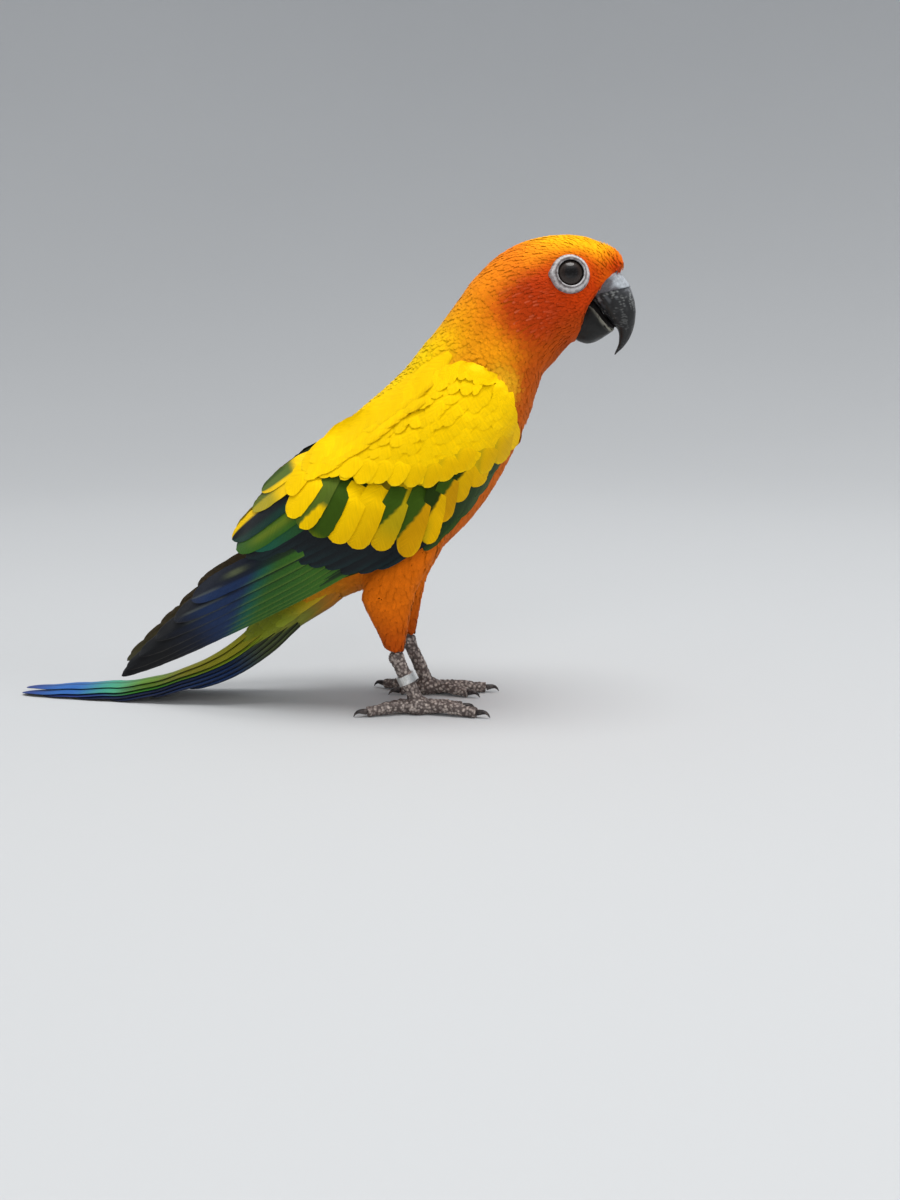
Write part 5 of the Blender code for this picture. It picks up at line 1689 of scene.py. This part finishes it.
body_part = (root_places < NECK_START) & ~on_leg
for name, limit in (("coat_back", on_back), ("coat_side_right", ~on_back & (root_y < 0)),
                    ("coat_side_left", ~on_back & (root_y >= 0))):
    which, gaps = part(body_part, limit)
    lay_tufts(name, which, BODY_TUFT, gaps * 5.2, gaps * 1.6, 0.78 + 0 * gaps)
which, gaps = part(root_places >= NECK_START, root_places < HEAD_START, ~on_leg)
lay_tufts("coat_neck", which, NECK_TUFT, gaps * 5.0, gaps * 1.2, 0.36 + 0.2 * gaps)
cheek = np.exp(-((root_x - 38.0) / 8.0) ** 2 - ((root_z - 128.0) / 7.0) ** 2) * 0.45
fringe = smooth(root_x, 59.0, 63.5) * smooth(root_z, 133.0, 137.0)
for name, low, high in (("coat_nape", HEAD_START, FACE_START), ("coat_face", FACE_START, 17.0)):
    which, gaps = part(root_places >= low, root_places < high, ~on_leg)
    lift = 0.16 + 0.32 * gaps + 0.9 * fringe[which]
    lay_tufts(name, which, HEAD_TUFT, gaps * 4.6, gaps * 0.75, lift, cheek[which])
for side, side_name in SIDES:
    which, gaps = part(on_leg, np.sign(root_y) == side)
    lay_tufts("coat_thigh_" + side_name, which, NECK_TUFT, gaps * 5.2, gaps * 1.0, 0.35 * gaps + 0.25)


# %% [markdown]
# ## The bill
#
# A parrot's bill is a hook of horn over a short cup. Each half is lofted through
# sections that are listed by three numbers: a point on the outer curve, a point on
# the cutting edge, and the half width. The horn is dark with pale scuffs, where
# the bird climbs and gnaws, and fine growth lines run round it. The pale cere
# sits over its root and holds the nostrils.

# %% Shaping the bill
UPPER_BILL = ((60.4, 139.6, 52.0, 130.6, 6.6), (63.9, 138.7, 55.6, 130.6, 6.6),
              (67.0, 135.2, 58.3, 127.9, 6.3), (68.8, 131.2, 60.4, 125.0, 5.7),
              (69.5, 127.0, 62.4, 122.8, 4.9), (69.2, 123.0, 64.0, 121.4, 3.9),
              (68.2, 119.6, 64.5, 119.4, 2.8), (66.3, 116.4, 64.3, 116.8, 1.6),
              (63.3, 113.5, 63.2, 113.8, 0.35))
LOWER_BILL = ((48.6, 119.6, 51.4, 129.0, 5.0), (51.8, 117.8, 55.4, 129.4, 5.5),
              (54.8, 117.0, 57.4, 127.6, 5.6), (57.7, 117.8, 59.2, 124.9, 5.2),
              (60.2, 119.3, 61.0, 122.8, 4.2), (62.2, 120.7, 62.7, 121.5, 2.6))
CERE_LINE = ((57.8, 132.2), (69.5, 134.9))
NOSTRIL = np.array((61.9, 3.9, 137.4))


def lofted(name, rings):
    """A closed body through rings of equal point count, in bird millimetres."""
    count, sides = rings.shape[:2]
    points = to_row(rings.reshape(-1, 3))
    faces = [tuple(range(sides)), tuple(range(count * sides - 1, (count - 1) * sides - 1, -1))]
    for i in range(count - 1):
        for j in range(sides):
            a, b = i * sides + j, i * sides + (j + 1) % sides
            faces.append((a, b, b + sides, a + sides))
    mesh = bpy.data.meshes.new(name)
    mesh.from_pydata([tuple(p) for p in points], [], faces)
    obj = added(name, mesh)
    in_edit_mode(obj, merge(1e-7), face_outwards)
    bpy.ops.object.shade_smooth()
    return obj


def bill_rings(rows, count, sides, grow=0.0, middle=0.5, box=0.85):
    """Sections of half a bill, finely spaced."""
    x0, z0, x1, z1, width = rows_at(rows, np.linspace(0, len(rows) - 1, count)).T[:, :, None]
    reach = np.hypot(x0 - x1, z0 - z1)
    x0, z0 = x0 + (x0 - x1) / reach * grow, z0 + (z0 - z1) / reach * grow
    angle = (np.arange(sides) + 0.5)[None] * math.tau / sides
    t = 0.5 - 0.5 * np.cos(angle)
    s = np.sin(angle)
    y = (width + grow) * np.sign(s) * np.abs(s) ** box * (1.0 + 0.16 * (t - middle))
    return np.stack((x0 + (x1 - x0) * t, y, z0 + (z1 - z0) * t), -1)


def cut_by_plane(obj, spot, away):
    """Bisects an object, removes what lies on the side that away points to, and caps it."""
    in_edit_mode(obj, lambda: bpy.ops.mesh.bisect(plane_co=spot, plane_no=away, use_fill=True,
                                                  clear_outer=True))


def rough(points, scale, seed):
    """A smooth random height for each point, from a few crossing waves."""
    waves = np.random.default_rng(seed)
    total = np.zeros(len(points))
    for k in range(14):
        way = unit(waves.normal(size=3)) * waves.uniform(0.5, 1.6) * math.tau / scale
        total += np.sin(points @ way + waves.uniform(0, math.tau))
    return total / 3.7


(x0, z0), (x1, z1) = CERE_LINE
cere_spot = Vector(to_row((x0, 0.0, z0)))
cere_way = Vector((z0 - z1, 0.0, x1 - x0)).normalized()
bill_upper = lofted("bill_horn_upper", bill_rings(UPPER_BILL, 80, 72))
bill_lower = lofted("bill_horn_lower", bill_rings(LOWER_BILL, 50, 64, middle=0.2))
cere = lofted("cere_skin", bill_rings(UPPER_BILL, 70, 72, grow=0.28))
cut_by_plane(bill_upper, cere_spot + cere_way * 0.0014, cere_way)
cut_by_plane(cere, cere_spot, -cere_way)


# %% Finishing the bill
HORN_DARK = paint(26, 26, 27)
HORN_GREY = paint(104, 106, 110)
HORN_PALE = paint(168, 170, 168)


def finish_upper_bill():
    points = to_bird(points_of(bill_upper))

    def away_from(x, z):
        return np.linalg.norm(points - (x, 0.0, z), axis=1)

    near_root = 1.0 - smooth(away_from(60.0, 138.0), 4.0, 16.0)
    lines = np.sin(away_from(52.0, 128.0) * 3.2 + rough(points, 9.0, 3))
    push_out(bill_upper, 0.035 * lines * near_root + 0.03 * rough(points, 1.6, 5))
    culmen = smooth(points @ np.array((0.86, 0.0, 0.5)), 118.0, 125.0)
    scuff = smooth(rough(points, 2.4, 7) + 1.1 * near_root - 0.35, 0.35, 1.0)
    root_grey = 1.0 - smooth(away_from(65.5, 136.5), 2.0, 8.0)
    grey = np.clip(0.7 * scuff * near_root + 0.7 * root_grey + 0.25 * culmen * near_root, 0, 1)
    specks = smooth(rough(points, 0.9, 9) + 0.8 * rough(points, 4.0, 10), 0.7, 1.3)
    tint_mesh(bill_upper.data, layered(HORN_DARK, (HORN_GREY, grey),
                                       (HORN_PALE, specks * (0.12 + 0.5 * near_root + 0.15 * culmen))))


def finish_lower_bill():
    points = to_bird(points_of(bill_lower))
    rim = rows_at(LOWER_BILL, np.linspace(0, 5, 60))[:, 2:4]
    far = np.sqrt(((points[:, None, [0, 2]] - rim[None]) ** 2).sum(2)).min(1)
    push_out(bill_lower, 0.25 * np.exp(-(far / 0.9) ** 2) + 0.03 * rough(points, 1.8, 11))
    edge = np.exp(-((far - 0.6) / 0.55) ** 2) * smooth(rough(points, 1.4, 13), -0.9, 0.3)
    tint_mesh(bill_lower.data, mixed(paint(18, 18, 17), paint(150, 148, 136), edge * 0.8))


def finish_cere():
    points = to_bird(points_of(cere))
    far = np.linalg.norm(mirrored(points) - NOSTRIL, axis=1)
    push_out(cere, 0.22 * np.exp(-((far - 1.25) / 0.5) ** 2) - 1.3 * (1.0 - smooth(far, 0.35, 0.95))
             + 0.04 * rough(points, 1.3, 15))
    # pale towards the front and top, dark grey towards the lower rear: partly the cere's own grey,
    # partly painted shade
    pale = smooth((points - (60.5, 0.0, 134.6)) @ np.array((0.72, 0.0, 0.69)), 0.2, 4.6)
    pale = np.clip(pale + 0.25 * rough(points, 2.2, 17), 0.0, 1.0)
    # the nostril painted near black: painted shade in its hole
    tint_mesh(cere.data, layered(paint(82, 80, 84), (paint(164, 170, 176), pale),
                                 (paint(30, 26, 26), 1.0 - smooth(far, 0.6, 1.0))))


def make_mouth():
    """A body inside the mouth that closes the slit between the halves of the bill, painted near black
    as shade in the slit.
    """
    rows = np.array(LOWER_BILL)
    rows[:, 2:4] += unit(rows[:, 2:4] - rows[:, 0:2]) * 1.4
    rows[:, 4] *= 0.78
    mouth = lofted("mouth", bill_rings(rows, 24, 32, middle=0.2))
    tint_mesh(mouth.data, paint(24, 22, 22) + np.zeros((len(mouth.data.vertices), 3)))
    return mouth


finish_upper_bill()
finish_lower_bill()
finish_cere()
bill_lower = joined([bill_lower, make_mouth()], "bill_horn_lower")


def make_horn(name, roughness, scale):
    material, shader = new_material(name, roughness, 0.35)
    shade_tint(material, shader, grain(material, scale, 4.0, 0.78, 1.2))
    sheen = grain(material, scale * 0.4, 3.0, roughness - 0.1, roughness + 0.14, 0.35, 0.65)
    plug(material, shader.inputs["Roughness"], sheen)
    bumped(material, shader, noise(material, scale * 1.3, 4.0), 0.00012, 0.5)
    return material


horn = make_horn("bill_horn_finish", 0.42, 900.0)
cere_finish = make_horn("cere_finish", 0.6, 1500.0)
dressed(bill_upper, horn, "bill_horn", "bill_upper")
dressed(bill_lower, horn, "bill_horn", "bill_lower")
dressed(cere, cere_finish, "bare_skin", "cere")


# %% [markdown]
# ## Eyes and lids
#
# The eye is a ball flattened a little, with a wet, clear surface over a dark brown
# iris and a black pupil. Its colours are rings about the way it looks, so the
# material measures how far a point is from that line. Round it lies a ring of
# bare, wrinkled, pale skin with a point at the back corner. The ring is a profile
# spun round, and the wrinkles are pushed into its points.

# %% Making the eyes
EYE_SIZE = (4.6, 4.6, 3.4)
# from the middle of the pupil outwards: distance in fifths of a centimetre, and colour
IRIS = ((0.0, (0.004, 0.0035, 0.0035)), (0.37, (0.006, 0.005, 0.005)), (0.41, (0.012, 0.007, 0.006)),
        (0.56, (0.020, 0.013, 0.010)), (0.66, (0.034, 0.025, 0.021)), (0.72, (0.018, 0.014, 0.013)),
        (0.80, (0.006, 0.005, 0.005)))


def make_eye_finish():
    material, shader = new_material("eye_wet", 0.35, 0.15, coat=0.45)
    place = node(material, "TexCoord").outputs["Object"]
    folded = vectors(material, "ABSOLUTE", place)[0]
    away = vectors(material, "SUBTRACT", folded, tuple(Vector(to_row(EYE))))[0]
    aside = vectors(material, "CROSS_PRODUCT", away, tuple(EYE_LOOK))[0]
    length = vectors(material, "LENGTH", aside)["Value"]
    ramp = node(material, "ValToRGB", i0=maths(material, "MULTIPLY", length, 200.0))
    stops = ramp.color_ramp.elements
    stops[1].position = 0.37
    for number, (where, tone) in enumerate(IRIS):
        stop = stops[number] if number < 2 else stops.new(where)
        stop.color = (*tone, 1.0)
    fibre = grain(material, 2600.0, 3.0, 0.75, 1.3)
    plug(material, shader.inputs["Base Color"],
         blend_colours(material, 1.0, ramp.outputs[0], fibre, "MULTIPLY"))
    return material


eye_finish = make_eye_finish()
for side, side_name in SIDES:
    bpy.ops.mesh.primitive_uv_sphere_add(segments=64, ring_count=32, radius=MM)
    eye = bpy.context.object
    eye.name = "eyeball_" + side_name
    eye.data.transform(eye_place(side) @ Matrix.Diagonal((*EYE_SIZE, 1.0)))
    bpy.ops.object.shade_smooth()
    dressed(eye, eye_finish, "eye", "eye_" + side_name)


# %% Making the lids
LID_PROFILE = ((3.88, 2.05), (3.92, 2.42), (4.08, 2.70), (4.34, 2.82), (4.64, 2.78), (4.96, 2.58),
               (5.28, 2.26), (5.58, 1.82), (5.84, 1.28), (6.00, 0.62), (6.00, -0.40), (5.8, -0.70),
               (5.2, -0.70), (4.9, 0.6), (4.5, 1.5), (3.88, 2.05))
LID_STEPS = 144
LID_PALE = paint(196, 193, 194)
LID_GREY = paint(86, 78, 78)


def make_lids(side, side_name):
    lids = spun("lids_" + side_name, [(r * MM, h * MM) for r, h in LID_PROFILE], LID_STEPS)
    points = points_of(lids) / MM
    turn = np.arctan2(points[:, 1], points[:, 0])
    radius = np.hypot(points[:, 0], points[:, 1])
    out = smooth(radius, 4.1, 5.8)
    to_eye = eye_place(side).to_3x3().inverted()
    rear, front = to_eye @ Vector((-1.0, 0.0, -0.04)), to_eye @ Vector((1.0, 0.0, -0.35))
    rear_turn, front_turn = math.atan2(rear.y, rear.x), math.atan2(front.y, front.x)

    def near(angle, width):
        away = (turn - angle + math.pi) % math.tau - math.pi
        return np.exp(-(away / width) ** 2)

    def ring(middle, width):
        return np.exp(-((radius - middle) / width) ** 2)

    stretch = 1.0 + 0.10 * near(rear_turn, 0.2) * out + 0.03 * near(front_turn, 0.5) * out
    wave = np.sin(radius * 10.0 + 0.8 * np.sin(turn * 3.0 + side)) * 0.07
    fold = np.sin(turn * 37.0 + 2.0 * np.sin(turn * 5.0)) * 0.05 * smooth(radius, 4.5, 5.2)
    height = (wave + fold) * out + 0.12 * ring(4.15, 0.22) + 0.04 * rough(points, 1.2, 21)
    points[:, :2] *= stretch[:, None]
    points[:, 2] += height * (points[:, 2] > 0.0)
    move_points(lids, points * MM)
    # the troughs of the wrinkles are painted grey: painted shade in the creases
    crease_shade = np.clip(-(wave + fold) * 8.0, 0.0, 1.0) * out
    bright = 0.8 * ring(4.25, 0.25) * near(front_turn - 0.6, 1.4)
    patch = 0.45 * smooth(rough(points, 1.6, 23), -0.3, 1.0)
    grey = (0.12 + 0.4 * crease_shade + patch + ring(4.58, 0.36) - 0.5 * ring(5.2, 0.28)
            + 0.35 * smooth(radius, 5.4, 6.0) - bright)
    tint_mesh(lids.data, layered(LID_PALE, (LID_GREY, np.clip(grey, 0.0, 1.0)),
                                 (paint(34, 28, 28), 1.0 - smooth(radius, 3.92, 4.12))))
    lids.data.transform(eye_place(side))
    dressed(lids, cere_finish, "bare_skin", "eye_ring_" + side_name)


for side, side_name in SIDES:
    make_lids(side, side_name)


# %% [markdown]
# ## Feet and claws
#
# A parrot has two toes in front and two behind, with small round scales all over
# and pads below. The solids give the toes their place. A copy of the leg and foot
# is remeshed into one fine skin, the scales are pushed out with a cell texture,
# and the same cells colour it, pale on each scale and dark between them. The
# soles stay flat on the floor. The claws are smoothed copies of the solids.

# %% Scaly legs
def make_leg(side_name):
    parts = [free_copy(name + "_" + side_name, "part") for name in ("foot", "tarsus")]
    for part in parts:
        add_modifier(part, "DISPLACE", strength=0.24 * MM, mid_level=0.0)
    leg = joined(parts, "scaly_leg_" + side_name)
    remeshed(leg, 0.26, 5)
    cells = bpy.data.textures.new("scales", "VORONOI")
    cells.noise_scale = 0.00105
    cells.distance_metric = "DISTANCE"
    add_modifier(leg, "DISPLACE", texture=cells, texture_coords="LOCAL",
                 strength=-0.42 * MM, mid_level=0.35)
    points = points_of(leg)
    points[:, 2] = np.maximum(points[:, 2], 0.00005)
    move_points(leg, points)
    only(leg)
    bpy.ops.object.shade_smooth()
    return leg


def make_scales():
    material, shader = new_material("leg_scale_finish", 0.62, 0.35)
    place = node(material, "TexCoord").outputs["Object"]
    cells = node(material, "TexVoronoi", Vector=place, Scale=950.0)
    crack = spread(material, cells.outputs["Distance"], 0.30, 0.62)
    dust = spread(material, noise(material, 700.0, 4.0), 0.38, 0.62)
    scale = blend_colours(material, dust, (*paint(118, 107, 103), 1.0), (*paint(178, 166, 158), 1.0))
    colour = blend_colours(material, crack, scale, (*paint(80, 70, 67), 1.0))
    plug(material, shader.inputs["Base Color"], colour)
    bumped(material, shader, maths(material, "SUBTRACT", 1.0, crack), 0.0002, 0.6)
    return material


leg_finish = make_scales()
for _, side_name in SIDES:
    dressed(make_leg(side_name), leg_finish, "leg_scales", "foot_" + side_name, "tarsus_" + side_name)


# %% Claws and leg band
TOE_NAMES = ("outer_front", "inner_front", "outer_back", "inner_back")
claw_finish = make_horn("claw_finish", 0.36, 1400.0)
for _, side_name in SIDES:
    names = ["claw_" + toe + "_" + side_name for toe in TOE_NAMES]
    claws = joined([free_copy(name, "claw") for name in names], "claws_" + side_name)
    remeshed(claws, 0.16, 4)
    shade = smooth(rough(to_bird(points_of(claws)), 2.0, 31), -0.5, 1.0)
    tint_mesh(claws.data, mixed(paint(38, 33, 33), paint(78, 70, 68), shade))
    bpy.ops.object.shade_smooth()
    dressed(claws, claw_finish, "claw_horn", *names)


def make_band_metal():
    material, shader = new_material("leg_band_metal", 0.34, 0.5, metal=1.0)
    wear = spread(material, noise(material, 500.0, 5.0), 0.35, 0.65)
    tone = blend_colours(material, wear, (0.62, 0.62, 0.60, 1.0), (0.80, 0.80, 0.79, 1.0))
    plug(material, shader.inputs["Base Color"], tone)
    plug(material, shader.inputs["Roughness"], grain(material, 1500.0, 4.0, 0.24, 0.46))
    bumped(material, shader, noise(material, 2400.0, 4.0), 0.00005, 0.4)
    return material


band = frame["nodes"]["leg_ring"]
band.data.materials.clear()
band.data.materials.append(make_band_metal())
print("leg band stays as the solid, in worn light metal")


# %% [markdown]
# ## The floor
#
# The floor is plain and pale, with only a faint unevenness in its tone, so that
# nothing draws the eye away from the bird.

# %% Floor finish
floor_finish, floor_shader = new_material("studio_floor", 0.9, 0.1)
cloudy = noise(floor_finish, 1.2, 2.0)
tone = blend_colours(floor_finish, cloudy, (0.50, 0.51, 0.52, 1.0), (0.54, 0.55, 0.56, 1.0))
plug(floor_finish, floor_shader.inputs["Base Color"], tone)
bowl.data.materials.append(floor_finish)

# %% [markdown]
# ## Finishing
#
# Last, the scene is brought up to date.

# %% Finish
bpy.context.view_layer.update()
